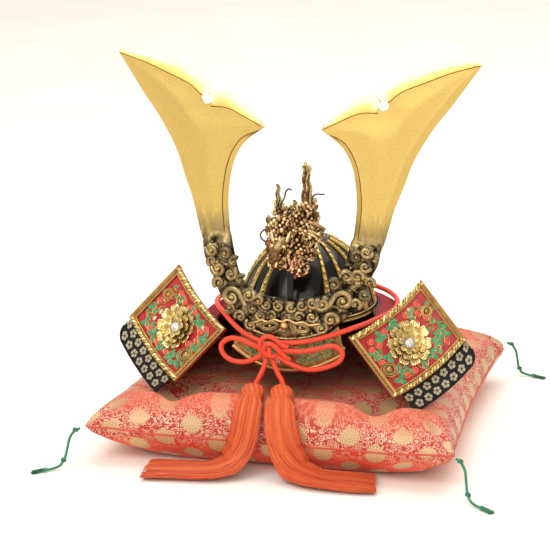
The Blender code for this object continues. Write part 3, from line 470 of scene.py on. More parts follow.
def horn_gilt(name, middle):
    """Gilt brass with a fine sanded grain and a painted highlight along the top bevel; its foot is left as antique
    bronze in upward streaks.
    """
    tree, shader = new_finish(name, {"Metallic": 1.0})
    place = place_in_mm(tree)
    relief = node(tree, "Attribute", {"attribute_name": "relief"}, out="Fac")
    speck = node(tree, "TexNoise", {}, {"Vector": place, "Scale": 0.9, "Detail": 3.0, "Roughness": 0.7})
    cloud = node(tree, "TexNoise", {}, {"Vector": place, "Scale": 0.03, "Detail": 2.0})
    tone = node(tree, "Math", {"operation": "MULTIPLY_ADD"}, {0: speck, 1: 0.7, 2: 0.15})
    shades = [(0.25, blend(middle, "#2A1400", 0.35)), (0.5, middle), (0.8, blend(middle, "#FFF8E0", 0.3))]
    gold = node(tree, "ValToRGB", {"stops": shades}, {"Fac": tone})
    # Painted highlight: where relief is above 0.8, on the top bevel, the gold is painted paler and is brightest at its
    # edge.
    tone = node(tree, "MapRange", {}, {"Value": relief, "From Min": 0.84, "From Max": 1.0})
    tone = node(tree, "Math", {"operation": "MULTIPLY_ADD"}, {0: cloud, 1: 0.5, 2: tone})
    pale = node(tree, "ValToRGB", {"stops": [(0.3, "#D9B35E"), (0.75, "#EACD84"), (1.0, "#FBE8B8")]}, {"Fac": tone})
    band = node(tree, "Math", {"operation": "GREATER_THAN"}, {0: relief, 1: 0.8})
    gold = node(tree, "Mix", {"data_type": "RGBA"}, {0: band, 6: gold, 7: pale}, out=2)
    streaks = node(tree, "Mapping", {}, {"Vector": place, "Scale": (0.17, 0.17, 0.03)})
    streak = node(tree, "TexNoise", {}, {"Vector": streaks, "Scale": 1.0, "Detail": 4.0, "Roughness": 0.6})
    height = node(tree, "SeparateXYZ", {}, {"Vector": place}, out="Z")
    rise = node(tree, "MapRange", {}, {"Value": height, "From Min": 238.0, "From Max": 302.0})
    worn = node(tree, "Math", {"operation": "SUBTRACT"}, {0: rise, 1: streak})
    worn = node(tree, "MapRange", {}, {"Value": worn, "From Min": -0.24, "From Max": 0.24})
    shades = [(0.3, "#5C4C30"), (0.5, "#8E7A50"), (0.75, "#C4AC76")]
    bronze = node(tree, "ValToRGB", {"stops": shades}, {"Fac": streak})
    colour = node(tree, "Mix", {"data_type": "RGBA"}, {0: worn, 6: bronze, 7: gold}, out=2)
    dull = node(tree, "MapRange", {}, {"Value": speck, "To Min": 0.36, "To Max": 0.56})
    complete(tree, shader, colour, dull, speck, 0.35, 0.15)


def plain_gilt(name, dark, light, roughness):
    """Gilt copper trim, a little tarnished, with a fine satin grain."""
    tree, shader = new_finish(name, {"Metallic": 1.0})
    stain = node(tree, "TexNoise", {}, {"Vector": place_in_mm(tree), "Scale": 0.12, "Detail": 5.0})
    level = relief_wear_and_shade(tree, stain, 0.8)
    colour = node(tree, "ValToRGB", {"stops": [(0.1, dark), (0.75, light)]}, {"Fac": level})
    dull = node(tree, "MapRange", {}, {"Value": stain, "To Min": roughness - 0.06, "To Max": roughness + 0.14})
    complete(tree, shader, colour, dull)


def lacquer(name, shade, roughness):
    """Black urushi lacquer over iron: deep, glossy, with the faintest waviness of brushed coats."""
    tree, shader = new_finish(name, {"Roughness": roughness, "Coat Weight": 0.04, "Coat Roughness": 0.06,
                                    "Specular IOR Level": 0.24})
    wave = node(tree, "TexNoise", {}, {"Vector": place_in_mm(tree), "Scale": 0.05, "Detail": 2.0})
    colour = node(tree, "ValToRGB", {"stops": [(0.3, "#050303"), (0.8, shade)]}, {"Fac": wave})
    complete(tree, shader, colour, None, wave, 0.3, 0.4)


def enamel(name, deep, bright, roughness=0.34):
    """Coloured glass-like lacquer paint pooled between raised lines, uneven in depth."""
    tree, shader = new_finish(name, {"Roughness": roughness, "Coat Weight": 0.1, "Coat Roughness": 0.15,
                                    "Specular IOR Level": 0.35})
    pool = node(tree, "TexNoise", {}, {"Vector": place_in_mm(tree), "Scale": 0.28, "Detail": 3.0})
    level = relief_wear_and_shade(tree, pool, 1.1)
    colour = node(tree, "ValToRGB", {"stops": [(0.1, deep), (0.85, bright)]}, {"Fac": level})
    complete(tree, shader, colour, None, pool, 0.4, 0.5)


def spun_silk(name, dark, middle, bright, thread_mm):
    """Dyed silk thread: soft sheen, fine threads, and painted shade where strands lie deep."""
    tree, shader = new_finish(name, {"Roughness": 0.6, "Sheen Weight": 0.08, "Sheen Roughness": 0.4})
    thread = node(tree, "TexNoise", {}, {"Vector": place_in_mm(tree), "Scale": 1 / thread_mm, "Detail": 2.0})
    level = relief_wear_and_shade(tree, thread, 0.5)
    colour = node(tree, "ValToRGB", {"stops": [(0.05, dark), (0.5, middle), (0.95, bright)]}, {"Fac": level})
    complete(tree, shader, colour, None, thread, 0.4, 0.2)


def dyed_leather(name):
    """Black dyed deerskin: matt, with a fine pebbled grain about a millimetre across."""
    tree, shader = new_finish(name, {"Roughness": 0.66, "Specular IOR Level": 0.3})
    place = place_in_mm(tree)
    pebble = node(tree, "TexVoronoi", {}, {"Vector": place, "Scale": 0.9}, out="Distance")
    shade = node(tree, "TexNoise", {}, {"Vector": place, "Scale": 0.15, "Detail": 3.0})
    colour = node(tree, "ValToRGB", {"stops": [(0.3, "#080605"), (0.8, "#1A1613")]}, {"Fac": shade})
    complete(tree, shader, colour, None, pebble, 0.5, 0.2)


# Gold-thread medallions of the brocade, as measured on the cushion in the photograph
MEDALLION_RADIUS = 12.2
MEDALLION_PITCH = (62.0, 46.0)


def steps(tree, made, rows):
    """Works out each row's named value from values named before it, by one node each."""
    for name, operation, *values in rows:
        feeds = {i: made.get(value, value) for i, value in enumerate(values)}
        made[name] = node(tree, "Math", {"operation": operation}, feeds)
    return made


def medallions(tree, cloth, shift_x, shift_y):
    """A round flower of eight petals in each cell of a grid: where it is, and its weave."""
    made = steps(tree, dict(cloth), (
        ("x", "ADD", "across", shift_x + 10 * MEDALLION_PITCH[0]),
        ("x", "PINGPONG", "x", MEDALLION_PITCH[0] / 2),
        ("y", "ADD", "along", shift_y + 10 * MEDALLION_PITCH[1]),
        ("y", "PINGPONG", "y", MEDALLION_PITCH[1] / 2),
        ("x2", "MULTIPLY", "x", "x"),
        ("y2", "MULTIPLY", "y", "y"),
        ("far", "ADD", "x2", "y2"),
        ("far", "SQRT", "far"),
        ("turn", "ARCTAN2", "y", "x"),
        ("turn", "MULTIPLY", "turn", 8.0),
        ("petal", "COSINE", "turn"),
        ("petal", "ABSOLUTE", "petal"),
        ("edge", "MULTIPLY_ADD", "petal", 0.9, MEDALLION_RADIUS - 0.9),
        ("edge", "SUBTRACT", "edge", "far"),
        ("rings", "MULTIPLY", "far", 0.9),
        ("rings", "SINE", "rings"),
        ("rings", "ABSOLUTE", "rings"),
        ("rings", "MULTIPLY_ADD", "rings", 0.4, 0.6),
        ("weave", "MULTIPLY_ADD", "petal", 0.5, 0.5),
        ("weave", "MULTIPLY", "weave", "rings"),
    ))
    inside = node(tree, "MapRange", {}, {"Value": made["edge"], "From Max": 0.5})
    return inside, made["weave"]


def brocade(name):
    """Red silk brocade: gold-thread medallions 24 mm across and fine pale scrolls on a twill ground."""
    tree, shader = new_finish(name, {"Roughness": 0.55, "Sheen Weight": 0.03, "Sheen Roughness": 0.4})
    cloth = node(tree, "UVMap", {"uv_map": "cloth"})
    spot = node(tree, "VectorMath", {"operation": "SCALE"}, {0: cloth, "Scale": TO_MM})
    made = {"across": node(tree, "SeparateXYZ", {}, {"Vector": spot}, out="X"),
            "along": node(tree, "SeparateXYZ", {}, {"Vector": spot}, out="Y")}
    first, first_weave = medallions(tree, made, 0.0, 0.0)
    second, second_weave = medallions(tree, made, MEDALLION_PITCH[0] / 2, MEDALLION_PITCH[1] / 2)
    # Scrolls: rings round scattered spots, broken up by gaps
    bend = node(tree, "TexNoise", {}, {"Vector": spot, "Scale": 0.09, "Detail": 1.0}, out="Color")
    bent = node(tree, "VectorMath", {"operation": "MULTIPLY_ADD"}, {0: bend, 1: (9, 9, 0), 2: spot})
    curl = node(tree, "TexVoronoi", {}, {"Vector": bent, "Scale": 0.16, "Randomness": 0.8}, out="Distance")
    gaps = node(tree, "TexVoronoi", {}, {"Vector": spot, "Scale": 0.28, "Randomness": 1.0}, out="Color")
    gap = node(tree, "SeparateColor", {}, {"Color": gaps}, out="Red")
    twill = node(tree, "TexWave", {"bands_direction": "DIAGONAL"}, {"Vector": spot, "Scale": 0.45})
    # Painted light: low on the sides the red turns a brighter orange and the scrolls thin out; on top the red is paler
    # and duller, and the scrolls and gold medallions fade.
    rich = node(tree, "TexNoise", {}, {"Vector": spot, "Scale": 0.02, "Detail": 2.0})
    rich = node(tree, "MapRange", {}, {"Value": rich, "From Min": 0.32, "From Max": 0.55, "To Min": 0.7})
    height = node(tree, "SeparateXYZ", {}, {"Vector": place_in_mm(tree)}, out="Z")
    low = node(tree, "MapRange", {}, {"Value": height, "From Min": 20.0, "From Max": 40.0})
    high = node(tree, "MapRange", {}, {"Value": height, "From Min": 56.0, "From Max": 72.0})
    made.update(first=first, first_weave=first_weave, second=second, second_weave=second_weave,
                curl=curl, gap=gap, twill=twill, rich=rich, low=low, high=high)
    steps(tree, made, (("curl", "MULTIPLY", "curl", 21.0), ("curl", "SINE", "curl")))
    made["scroll"] = node(tree, "MapRange", {}, {"Value": made["curl"], "From Min": -0.1, "From Max": 0.3})
    steps(tree, made, (
        ("flower", "MAXIMUM", "first", "second"),
        ("first_gold", "MULTIPLY", "first", "first_weave"),
        ("second_gold", "MULTIPLY", "second", "second_weave"),
        ("flower_weave", "MAXIMUM", "first_gold", "second_gold"),
        ("gap", "GREATER_THAN", "gap", 0.16),
        ("scroll", "MULTIPLY", "scroll", "gap"),
        ("low_share", "MULTIPLY_ADD", "low", 0.8, 0.2),
        ("high_share", "MULTIPLY_ADD", "high", -0.7, 1.0),
        ("rich", "MULTIPLY", "rich", "low_share"),
        ("rich", "MULTIPLY", "rich", "high_share"),
        ("ground", "SUBTRACT", 1.0, "flower"),
        ("scroll", "MULTIPLY", "scroll", "rich"),
        ("scroll", "MULTIPLY", "scroll", "ground"),
        # Painted light: the gold medallions fade toward the top.
        ("shown", "MULTIPLY_ADD", "high", -0.55, 0.92),
        ("shown", "MULTIPLY", "flower", "shown"),
        ("thread", "MAXIMUM", "flower", "scroll"),
        ("metal", "MULTIPLY", "thread", 0.2),
        ("pile", "MULTIPLY", "twill", 0.3),
        ("raised", "MULTIPLY", "thread", 0.7),
        ("pile", "ADD", "pile", "raised"),
    ))
    red = node(tree, "ValToRGB", {"stops": [(0.2, "#A4261C"), (0.8, "#C43624")]}, {"Fac": twill})
    warm = node(tree, "ValToRGB", {"stops": [(0.2, "#D8391F"), (0.8, "#F2552E")]}, {"Fac": twill})
    top_light_red = node(tree, "ValToRGB", {"stops": [(0.2, "#BE4026"), (0.8, "#D4603C")]}, {"Fac": twill})
    gold = node(tree, "ValToRGB", {"stops": [(0.2, "#A87A4C"), (0.9, "#D8B988")]}, {"Fac": made["flower_weave"]})
    # Painted light: orange low on the sides, a paler red on top.
    colour = node(tree, "Mix", {"data_type": "RGBA"}, {0: low, 6: warm, 7: red}, out=2)
    for share, over in ((high, top_light_red), (made["scroll"], linear("#E0B698")), (made["shown"], gold)):
        colour = node(tree, "Mix", {"data_type": "RGBA"}, {0: share, 6: colour, 7: over}, out=2)
    tree.links.new(made["metal"], shader["Metallic"])
    dull = node(tree, "MapRange", {}, {"Value": made["thread"], "To Min": 0.62, "To Max": 0.42})
    complete(tree, shader, colour, dull, made["pile"], 0.5, 0.3)


def pale_floor(name):
    """A matt warm-white board."""
    tree, shader = new_finish(name, {"Roughness": 0.85})
    mottle = node(tree, "TexNoise", {}, {"Vector": place_in_mm(tree), "Scale": 0.004})
    colour = node(tree, "ValToRGB", {"stops": [(0.3, "#F6F1E6"), (0.7, "#FAF6EE")]}, {"Fac": mottle})
    complete(tree, shader, colour)


def make_finishes():
    """Every finish on the helmet, named for what it is on the real one."""
    chosen = bpy.context.scene.kabuto_colours
    # Sanded gilt brass: broad soft glints, no mirror.
    horn_gilt("sanded_horn_gilt", chosen.horn_gold)
    # A brown-black wash in the hollows makes the waves and knobs of the casting stand out.
    cast_metal("antique_cast_bronze", "#241B10", "#75654A", "#C6AE78", 0.32, 2.2, 0.5)
    # The dragon is a redder bronze, its scale tips rubbed to bright copper.
    cast_metal("coppered_dragon_bronze", "#2B170D", "#955F40", "#F2C6A2", 0.26, 1.6, 0.4)
    cast_metal("browned_dragon_bronze", "#21160C", "#86663E", "#EBD2A0", 0.28, 1.6, 0.4)
    # Gilt copper, stamped or drawn: warm satin trim, browner where the gilding is thin.
    plain_gilt("rib_gilt_copper", "#5E4A24", "#CDB06A", 0.34)
    plain_gilt("border_gilt_copper", "#6E4620", "#C2945A", 0.34)
    plain_gilt("rope_border_gilt", "#94703A", "#EBD592", 0.3)
    plain_gilt("peony_gilt", "#8E6A26", "#FBE6A6", 0.3)
    plain_gilt("worn_ornament_gilt", "#5A3A1C", "#D9B478", 0.34)
    plain_gilt("silvered_flower_heart", "#8E8A86", "#EDEAE4", 0.3)
    plain_gilt("wire_of_dark_steel", "#2E2A28", "#6A635E", 0.4)
    # Urushi over iron: the bowl is polished, the plates are left duller.
    lacquer("black_urushi_bowl", "#140E0C", 0.16)
    lacquer("black_urushi_plate", "#1E1916", 0.3)
    # Fired enamel between raised gilt lines: clear colour that deepens where it pools.
    enamel("red_ground_enamel", "#7E0F14", "#C8262C")
    enamel("green_leaf_enamel", "#0B4A2A", "#48B07C")
    enamel("white_bud_enamel", "#C8A08C", "#F7E4D8")
    enamel("red_berry_enamel", "#A3121C", "#F0484A", 0.2)
    # Silver-beige rubbed print on the black leather.
    enamel("sakura_print", "#6E6452", "#C3B594", 0.5)
    dyed_leather("black_dyed_leather")
    # Silk, braided, twisted or loose: painted highlights where the strands turn to the light, painted shade deep
    # between them.
    red, orange = tuple(chosen.cord_red), tuple(chosen.tassel_orange)
    crimson, green = tuple(chosen.lacing_crimson), tuple(chosen.corner_green)
    spun_silk("vermilion_braid", blend(red, "#1A0000", 0.35), red, blend(red, "#FF9A60", 0.14), 0.6)
    spun_silk("orange_tassel_silk", blend(orange, "#300000", 0.45), orange, blend(orange, "#FFC060", 0.16), 0.4)
    spun_silk("green_corner_silk", "#0B2A1E", green, "#3F9A70", 0.4)
    # Lacing that covers the neck guard's plates
    spun_silk("crimson_lacing_silk", "#5E1018", crimson, "#C8484A", 0.6)
    spun_silk("seam_silk", "#8E1E16", "#C93A28", "#EE8A6A", 0.5)
    # Woven silk with flat gold thread, which shines only in the figures.
    brocade("red_gold_brocade")
    # Painted board
    pale_floor("pale_floor")


# Places on the helmet


def bowl_point(angle, z, lift=0.0):
    """A place on the bowl, angle in degrees from the front, lift along the way out."""
    half_x, half_y, half_z = BOWL_HALF
    flat = sqrt(max(0.0, 1 - ((z - BOWL_CENTRE[2]) / half_z) ** 2))
    turn = radians(angle)
    x, y = half_x * flat * sin(turn), -half_y * flat * cos(turn)
    out = Vector((x / half_x ** 2, y / half_y ** 2, (z - BOWL_CENTRE[2]) / half_z ** 2))
    return Vector((x, BOWL_CENTRE[1] + y, z)) + out.normalized() * lift


def visor_point(across, down, lift=0.0):
    """A place on the visor: across from -1 to 1, down from its root to its rim."""
    root = bowl_point(across * 52, BOWL_RIM_Z, 2.6)
    root.z = VISOR_ROOT_Z
    bend = across * across
    front = Vector((across * VISOR_HALF_WIDTH, VISOR_FRONT_Y + 12 * bend, VISOR_ROOT_Z - VISOR_DROP + 22 * bend))
    belly = Vector((0, -1, 1)) * (7 * sin(pi * down) * (1 - bend))
    out = Vector((0.35 * across, -1, 0.9)).normalized()
    return root.lerp(front, down) + belly + out * lift


def table_out(down):
    return sin(pi / 2 * down) ** 1.15


def skirt_point(turn, down, inset=0.0):
    """A place on the neck guard: turn 0 at the fold, 1 at the rear; down 0 at the top, 1 at the foot."""
    foot = FOLD_FOOT + (FOLD_FOOT - FOLD_TOP).normalized() * STRIP_SHOW * 0.4
    edge = FOLD_TOP.lerp(foot, down)
    edge_angle = atan2(edge.x, BOWL_CENTRE[1] - edge.y)
    edge_reach = hypot(edge.x, edge.y - BOWL_CENTRE[1])
    settle = smoothstep(0.0, 0.34, turn)
    rear = smoothstep(0.45, 1.0, turn)
    outer = SKIRT_SIDE_FOOT + (SKIRT_REAR_FOOT - SKIRT_SIDE_FOOT) * rear
    settled_z = SKIRT_TOP_Z + (SKIRT_FOOT_Z - SKIRT_TOP_Z) * table_value(SKIRT_PROFILE, table_out(down))
    angle = edge_angle + (pi - edge_angle) * turn
    rim = bowl_point(degrees(angle), BOWL_RIM_Z)
    inner = hypot(rim.x, rim.y - BOWL_CENTRE[1]) + 3.3
    settled_reach = inner + (outer - inner) * table_out(down)
    reach = edge_reach + (settled_reach - edge_reach) * settle - inset
    z = edge.z + (settled_z - edge.z) * settle - inset * 0.6
    return Vector((reach * sin(angle), BOWL_CENTRE[1] - reach * cos(angle), z))


def panel_point(side, out, down, lift=0.0):
    """A place on a turn-back: out from the fold, down from its top edge, lift off its face."""
    fold = FOLD_FOOT - FOLD_TOP
    normal = fold.cross(PANEL_REACH).normalized()
    if normal.y > 0:
        normal = -normal
    arch = 1 - (2 * out - 1) ** 2
    spot = FOLD_TOP + PANEL_REACH.normalized() * 2 + PANEL_REACH * out + fold * down + normal * lift
    spot += fold.normalized() * (PANEL_SAG * arch) - normal * (PANEL_BOW * arch)
    return Vector((side * spot.x, spot.y, spot.z))


REACH_LENGTH = PANEL_REACH.length
FOLD_LENGTH = (FOLD_FOOT - FOLD_TOP).length


def panel_mm(side, x, y, lift=0.0):
    """A place on a turn-back by millimetres from its middle: x outward, y down."""
    return panel_point(side, 0.5 + x / REACH_LENGTH, 0.5 + y / FOLD_LENGTH, lift)


def crest_y(x, z):
    """The plane of the horns and the cast base, swept and leaned back a little."""
    return CREST_PLANE_Y + CREST_SWEEP * abs(x) + CREST_LEAN * (z - BASE_FOOT_Z)


def base_front(x, z, lift=0.0):
    """A place on the front of the cast base."""
    share = min(1.0, abs(x) / (0.7 * BASE_HALF_WIDTH))
    return Vector((x, crest_y(x, z) - 0.3 - BASE_WALL - BASE_BULGE * (1 - share * share) - lift, z))


# Pieces


def spiral(centre, radius, turns, start, hand, place, lift, tail=0.0, per_turn=14):
    """Points of a curl that winds in to its centre, with a straight tail before it."""
    cx, cz = centre
    out = []
    if tail:
        angle = radians(start)
        tangent = Vector((sin(angle), -cos(angle))) * hand
        begin = Vector((cx + radius * cos(angle), cz + radius * sin(angle)))
        for k in range(4, 0, -1):
            spot = begin + tangent * (tail * k / 4)
            out.append(place(spot.x, spot.y, lift * 0.2 * (4 - k) / 4))
    count = max(6, int(per_turn * turns))
    for k in range(count + 1):
        share = k / count
        angle = radians(start) + hand * tau * turns * share
        size = radius * (1 - 0.74 * share)
        out.append(place(cx + size * cos(angle), cz + size * sin(angle), lift * (0.2 + 0.8 * share)))
    return out


def hoop(z, lift=0.0):
    """A level ring of points round the bowl."""
    return [bowl_point(360 * k / HOOP_POINTS, z, lift) for k in range(HOOP_POINTS)]


def make_bowl():
    """The lacquered bowl, its ribs with their rivets, the rim band and the crown plate."""
    shell = Shape()
    rise = asin((BOWL_RIM_Z - BOWL_CENTRE[2]) / BOWL_HALF[2])
    outer, inner = [], []
    for i in range(25):
        turn = rise + (pi / 2 - 0.012 - rise) * i / 24
        z = BOWL_CENTRE[2] + BOWL_HALF[2] * sin(turn)
        outer.append(hoop(z))
        inner.append(hoop(z, -2.2))
    shell.grid(inner[::-1] + outer, closed=True)
    top = len(shell.points) - HOOP_POINTS
    shell.face(range(top, top + HOOP_POINTS))
    shell.face(range(HOOP_POINTS))
    shell.grid([inner[0], outer[0]], closed=True)
    shell.build("bowl_shell", ["black_urushi_bowl"], ["bowl"])

    top = BOWL_CENTRE[2] + BOWL_HALF[2] * sqrt(1 - (CROWN_RADIUS / BOWL_HALF[0]) ** 2)
    half_profile = ((-1.0, 0.1), (-0.94, 1.3), (-0.8, 2.3), (-0.6, 1.4))
    profile = (*half_profile, *((-w, lift) for w, lift in half_profile[::-1]))
    for side, word in SIDES:
        for number, angle in enumerate(RIB_ANGLES, 1):
            rib = Shape()
            rows = []
            levels = [RIB_FOOT_Z + (top - 3 - RIB_FOOT_Z) * sin(pi / 2 * k / 20) for k in range(21)]
            for z in levels:
                across = (bowl_point(side * angle + 1, z) - bowl_point(side * angle - 1, z)).normalized()
                half = 4.5 * (0.42 + 0.58 * smoothstep(top, RIB_FOOT_Z, z))
                rows.append([bowl_point(side * angle, z, 0.3 + lift) + across * (half * w) for w, lift in profile])
            rib.grid(rows, 0, [[0.35 if abs(w) < 0.6 else 0.8 for w, _ in profile] for _ in rows], closed=True)
            line = even([bowl_point(side * angle, z, 1.9) for z in levels], 9.0)
            for k, place in enumerate(line[1:-1]):
                out = (place - Vector((0, BOWL_CENTRE[1], BOWL_CENTRE[2]))).normalized()
                rib.dome(place, out, 2.6 - 0.9 * k / len(line), 2.0, 0, 0.95, 12, 4)
            rib.build(f"gilt_rib_{word}_{number}", ["rib_gilt_copper"], [f"rib_{word}_{number}"])

    band = Shape()
    rows = [hoop(BOWL_RIM_Z + z, lift) for z, lift in (
        (0, 0.3), (0, 2.1), (1.4, 2.6), (2.4, 1.9), (5.2, 1.9), (6.2, 2.5), (7, 1.8), (7, 0.3))]
    band.grid(rows, 0, [[0.8 if i in (2, 5) else 0.4] * HOOP_POINTS for i in range(8)], closed=True)
    band.build("bowl_rim_band", ["rib_gilt_copper"], ["rim_band"])

    crown = Shape()
    seat = BOWL_CENTRE[2] + BOWL_HALF[2] + 0.1
    profile = ((17, -1.4), (17, 0.6), (15.8, 1.5), (14.6, 0.9), (12, 1.3), (11.2, 3.0), (9.4, 3.8), (8.2, 2.6),
               (5.2, 3.4), (4.4, 5.2), (2.4, 6.0), (0.2, 6.1))
    rows = []
    for i, (radius, z) in enumerate(profile):
        scallop = 0.05 if 2 <= i <= 4 else 0.0
        rows.append([Vector((0, BOWL_CENTRE[1], seat + z)) + Vector((
            cos(tau * k / 64), sin(tau * k / 64), 0)) *
            (radius * (1 + scallop * cos(16 * tau * k / 64))) for k in range(64)])
    crown.grid(rows, 0, [[0.3 if i in (3, 7) else 0.8] * 64 for i in range(len(profile))], closed=True)
    crown.face(range(len(crown.points) - 64, len(crown.points)))
    crown.build("crown_boss", ["rib_gilt_copper"], ["crown_plate"])


def make_neck_guard():
    """Two lacquered plates with a rolled gilt edge, laced together at the rear in plain rows."""
    spans = (("lame_upper", 0.0, 0.78, 0.0, 0.039), ("lame_lower", 0.72, 1.0, 3.2, 0.078))
    for name, start, stop, inset, setback in spans:
        plate = Shape()
        turns = [setback + (1 - setback) * k / 48 for k in range(49)]
        rows = []
        for k in range(13):
            down = start + (stop - start) * k / 12
            ridge = 0.25 * sin(tau * 6 * k / 12)
            left = [skirt_point(t, down, inset * (1 - k / 12) - ridge) for t in turns]
            rows.append(left + [Vector((-p.x, p.y, p.z)) for p in left[-2::-1]])
        plate.slab(rows, Vector((0, 0, -1.5)), 0, 0.5)
        edge = [p + Vector((0, 0, -0.4)) for p in rows[-1]]
        plate.sweep(even(edge, 4), 1.3, 8, 1, 0.7)
        # Close rows of silk lacing run down each plate and stop short of its lower edge.
        low = stop - 0.035
        for column in range(LACING_COLUMNS):
            turn = setback + (1 - setback) * (column + 0.5) / LACING_COLUMNS
            begin = start + 0.02
            downs = [begin + (low - begin) * k / 9 for k in range(10)]
            line = [skirt_point(turn, down, inset * (1 - (down - start) / (stop - start)) - 0.5) for down in downs]
            half = 0.5 / LACING_COLUMNS
            sizes = [0.5, *(0.44 * (skirt_point(turn + half, 0.3 + 0.07 * k)
                                    - skirt_point(turn - half, 0.3 + 0.07 * k)).length for k in range(1, 9)), 0.7]
            for hand in (-1, 1):
                plate.sweep([Vector((hand * p.x, p.y, p.z)) for p in line], sizes, 6, 2, 0.35 + 0.3 * (column % 2))
        plate.build(name + "_plate", ["black_urushi_plate", "border_gilt_copper", "crimson_lacing_silk"], [name],
                    40)


def leaf(shape, place, spot, angle, long, wide, finish, lift=1.0, edge=None):
    """A raised pointed leaf with a sunk vein, on a surface that place gives; edge adds a gilt outline."""
    heading = Vector((cos(angle), sin(angle)))
    beside = Vector((-heading.y, heading.x))
    rows, values = [], []
    for i in range(7):
        share = i / 6
        half = wide / 2 * sin(pi * min(1.0, share ** 0.8)) + 0.05
        row, tones = [], []
        for j in (-1.0, -0.5, 0.0, 0.5, 1.0):
            at = Vector(spot) + heading * (long * share) + beside * (half * j)
            rise = lift * (1.0 - j * j) if abs(j) > 0.3 else 0.45 * lift
            row.append(place(at.x, at.y, 0.4 + rise * sin(pi * (0.15 + 0.8 * share))))
            tones.append(0.85 if abs(j) == 0.5 else 0.3)
        rows.append(row)
        values.append(tones)
    shape.grid(rows, finish, values)
    if edge is not None:
        for j in (-1.0, 1.0):
            line = []
            for i in range(7):
                share = i / 6
                half = wide / 2 * sin(pi * min(1.0, share ** 0.8)) + 0.3
                at = Vector(spot) + heading * (long * share) + beside * (half * j)
                line.append(place(at.x, at.y, 0.6))
            shape.sweep(line, 0.45, 5, edge, 0.8)


def flower(shape, place, spot, radius, petals, finish, heart, lift=1.4, notch=0.2, turn=0.0):
    """A small open flower of notched petals with a beaded heart."""
    for k in range(petals):
        middle = turn + tau * k / petals
        rows = []
        for i in range(4):
            share = 0.18 + 0.82 * i / 3
            row = []
            for j in range(-3, 4):
                angle = middle + pi / petals * 0.92 * j / 3 * (0.55 + 0.45 * sin(pi * share))
                reach = radius * share
                if i == 3:
                    reach *= 1 - notch * (1 - abs(j) / 3) - 0.25 * (abs(j) / 3) ** 3
                rise = lift * (0.4 + 0.6 * cos(pi / 2 * j / 3)) * sin(pi * (0.25 + 0.6 * share))
                row.append(place(spot[0] + reach * cos(angle), spot[1] + reach * sin(angle), 0.35 + rise))
            rows.append(row)
        shape.grid(rows, finish, [[0.4 + 0.4 * (i / 3)] * 7 for i in range(4)])
    out = (place(spot[0], spot[1], 2.0) - place(spot[0], spot[1], 0.0)).normalized()
    shape.dome(place(spot[0], spot[1], 0.4 + 0.5 * lift), out, radius * 0.2, lift * 0.6, heart, 0.9, 8, 2)


def make_visor():
    """The visor's gilt ground with raised green leaves, red and white buds and a rolled gold rim."""
    ground = Shape()

    def begin(across):
        """The visor narrows to its rim toward its two ends."""
        return 0.8 * smoothstep(0.72, 1.0, abs(across))

    rows = []
    for i in range(15):
        starts = [begin(2 * j / 48 - 1) for j in range(49)]
        rows.append([visor_point(2 * j / 48 - 1, start + (0.965 - start) * i / 14) for j, start in enumerate(starts)])
    ground.slab(rows, Vector((0, 1.2, -1.5)), 0, 0.25)

    def place(x, y, lift):
        return visor_point(x / VISOR_HALF_WIDTH, y / VISOR_DEPTH, lift)

    draw = random.Random(7)
    for row, y in enumerate((8, 16.5, 25, 33.5, 41.5)):
        for k in range(-7, 8):
            x = k * 9.0 + (4.5 if row % 2 else 0) + draw.uniform(-1, 1)
            if y / VISOR_DEPTH < begin(x / VISOR_HALF_WIDTH) + 0.16 or abs(x) > VISOR_HALF_WIDTH - 15:
                continue
            pick = draw.random()
            spin = draw.uniform(0, tau)
            if pick < 0.62:
                for m in range(3):
                    leaf(ground, place, (x, y), spin + m * 2.1, 6.2, 3.4, 1, 1.2, 0)
            elif pick < 0.8:
                flower(ground, place, (x, y), 3.6, 5, 3, 0, 1.2, turn=spin)
            else:
                flower(ground, place, (x, y), 3.4, 5, 2, 0, 1.2, turn=spin)
            curl = [place(x + 4.6 * cos(spin + t * 0.55) * (1 - t * 0.07),
                          y + 4.0 * sin(spin + t * 0.55) * (1 - t * 0.07), 0.7) for t in range(10)]
            ground.sweep(curl, 0.5, 5, 0, 0.85)
    ground.build("visor_leaf_relief", ["border_gilt_copper", "green_leaf_enamel", "red_berry_enamel",
                                       "white_bud_enamel"], ["visor"], 40)
    rim = Shape()
    line = even([visor_point(2 * j / 60 - 1, 0.985) for j in range(61)], 2.5)
    rim.sweep(line, 2.6, 12, 0, 0.75, up=Vector((0, -0.6, 0.8)), flat=0.8)
    inner = even([visor_point(2 * j / 60 - 1, 0.90, 0.8) for j in range(61)], 1.2)
    rim.sweep(inner, 0.9, 6, 0, 0.6, bump=rippled(0.35, 2.4))
    rim.build("visor_gold_rim", ["border_gilt_copper"], ["visor_rim"])


def rope(shape, line, radius, pitch, finish):
    """A two-strand twisted rope along a line."""
    line = even(line, pitch / 8)
    for phase in (0.0, pi):
        strand, across = [], None
        for i, spot in enumerate(line):
            ahead = (line[min(i + 1, len(line) - 1)] - line[max(i - 1, 0)]).normalized()
            across = ahead.orthogonal() if across is None else across
            across = (across - ahead * across.dot(ahead)).normalized()
            other = across.cross(ahead)
            turn = tau * i / 8 + phase
            strand.append(spot + (across * cos(turn) + other * sin(turn)) * (radius * 0.52))
        shape.sweep(strand, radius * 0.56, 6, finish, 0.95 if phase else 0.4)


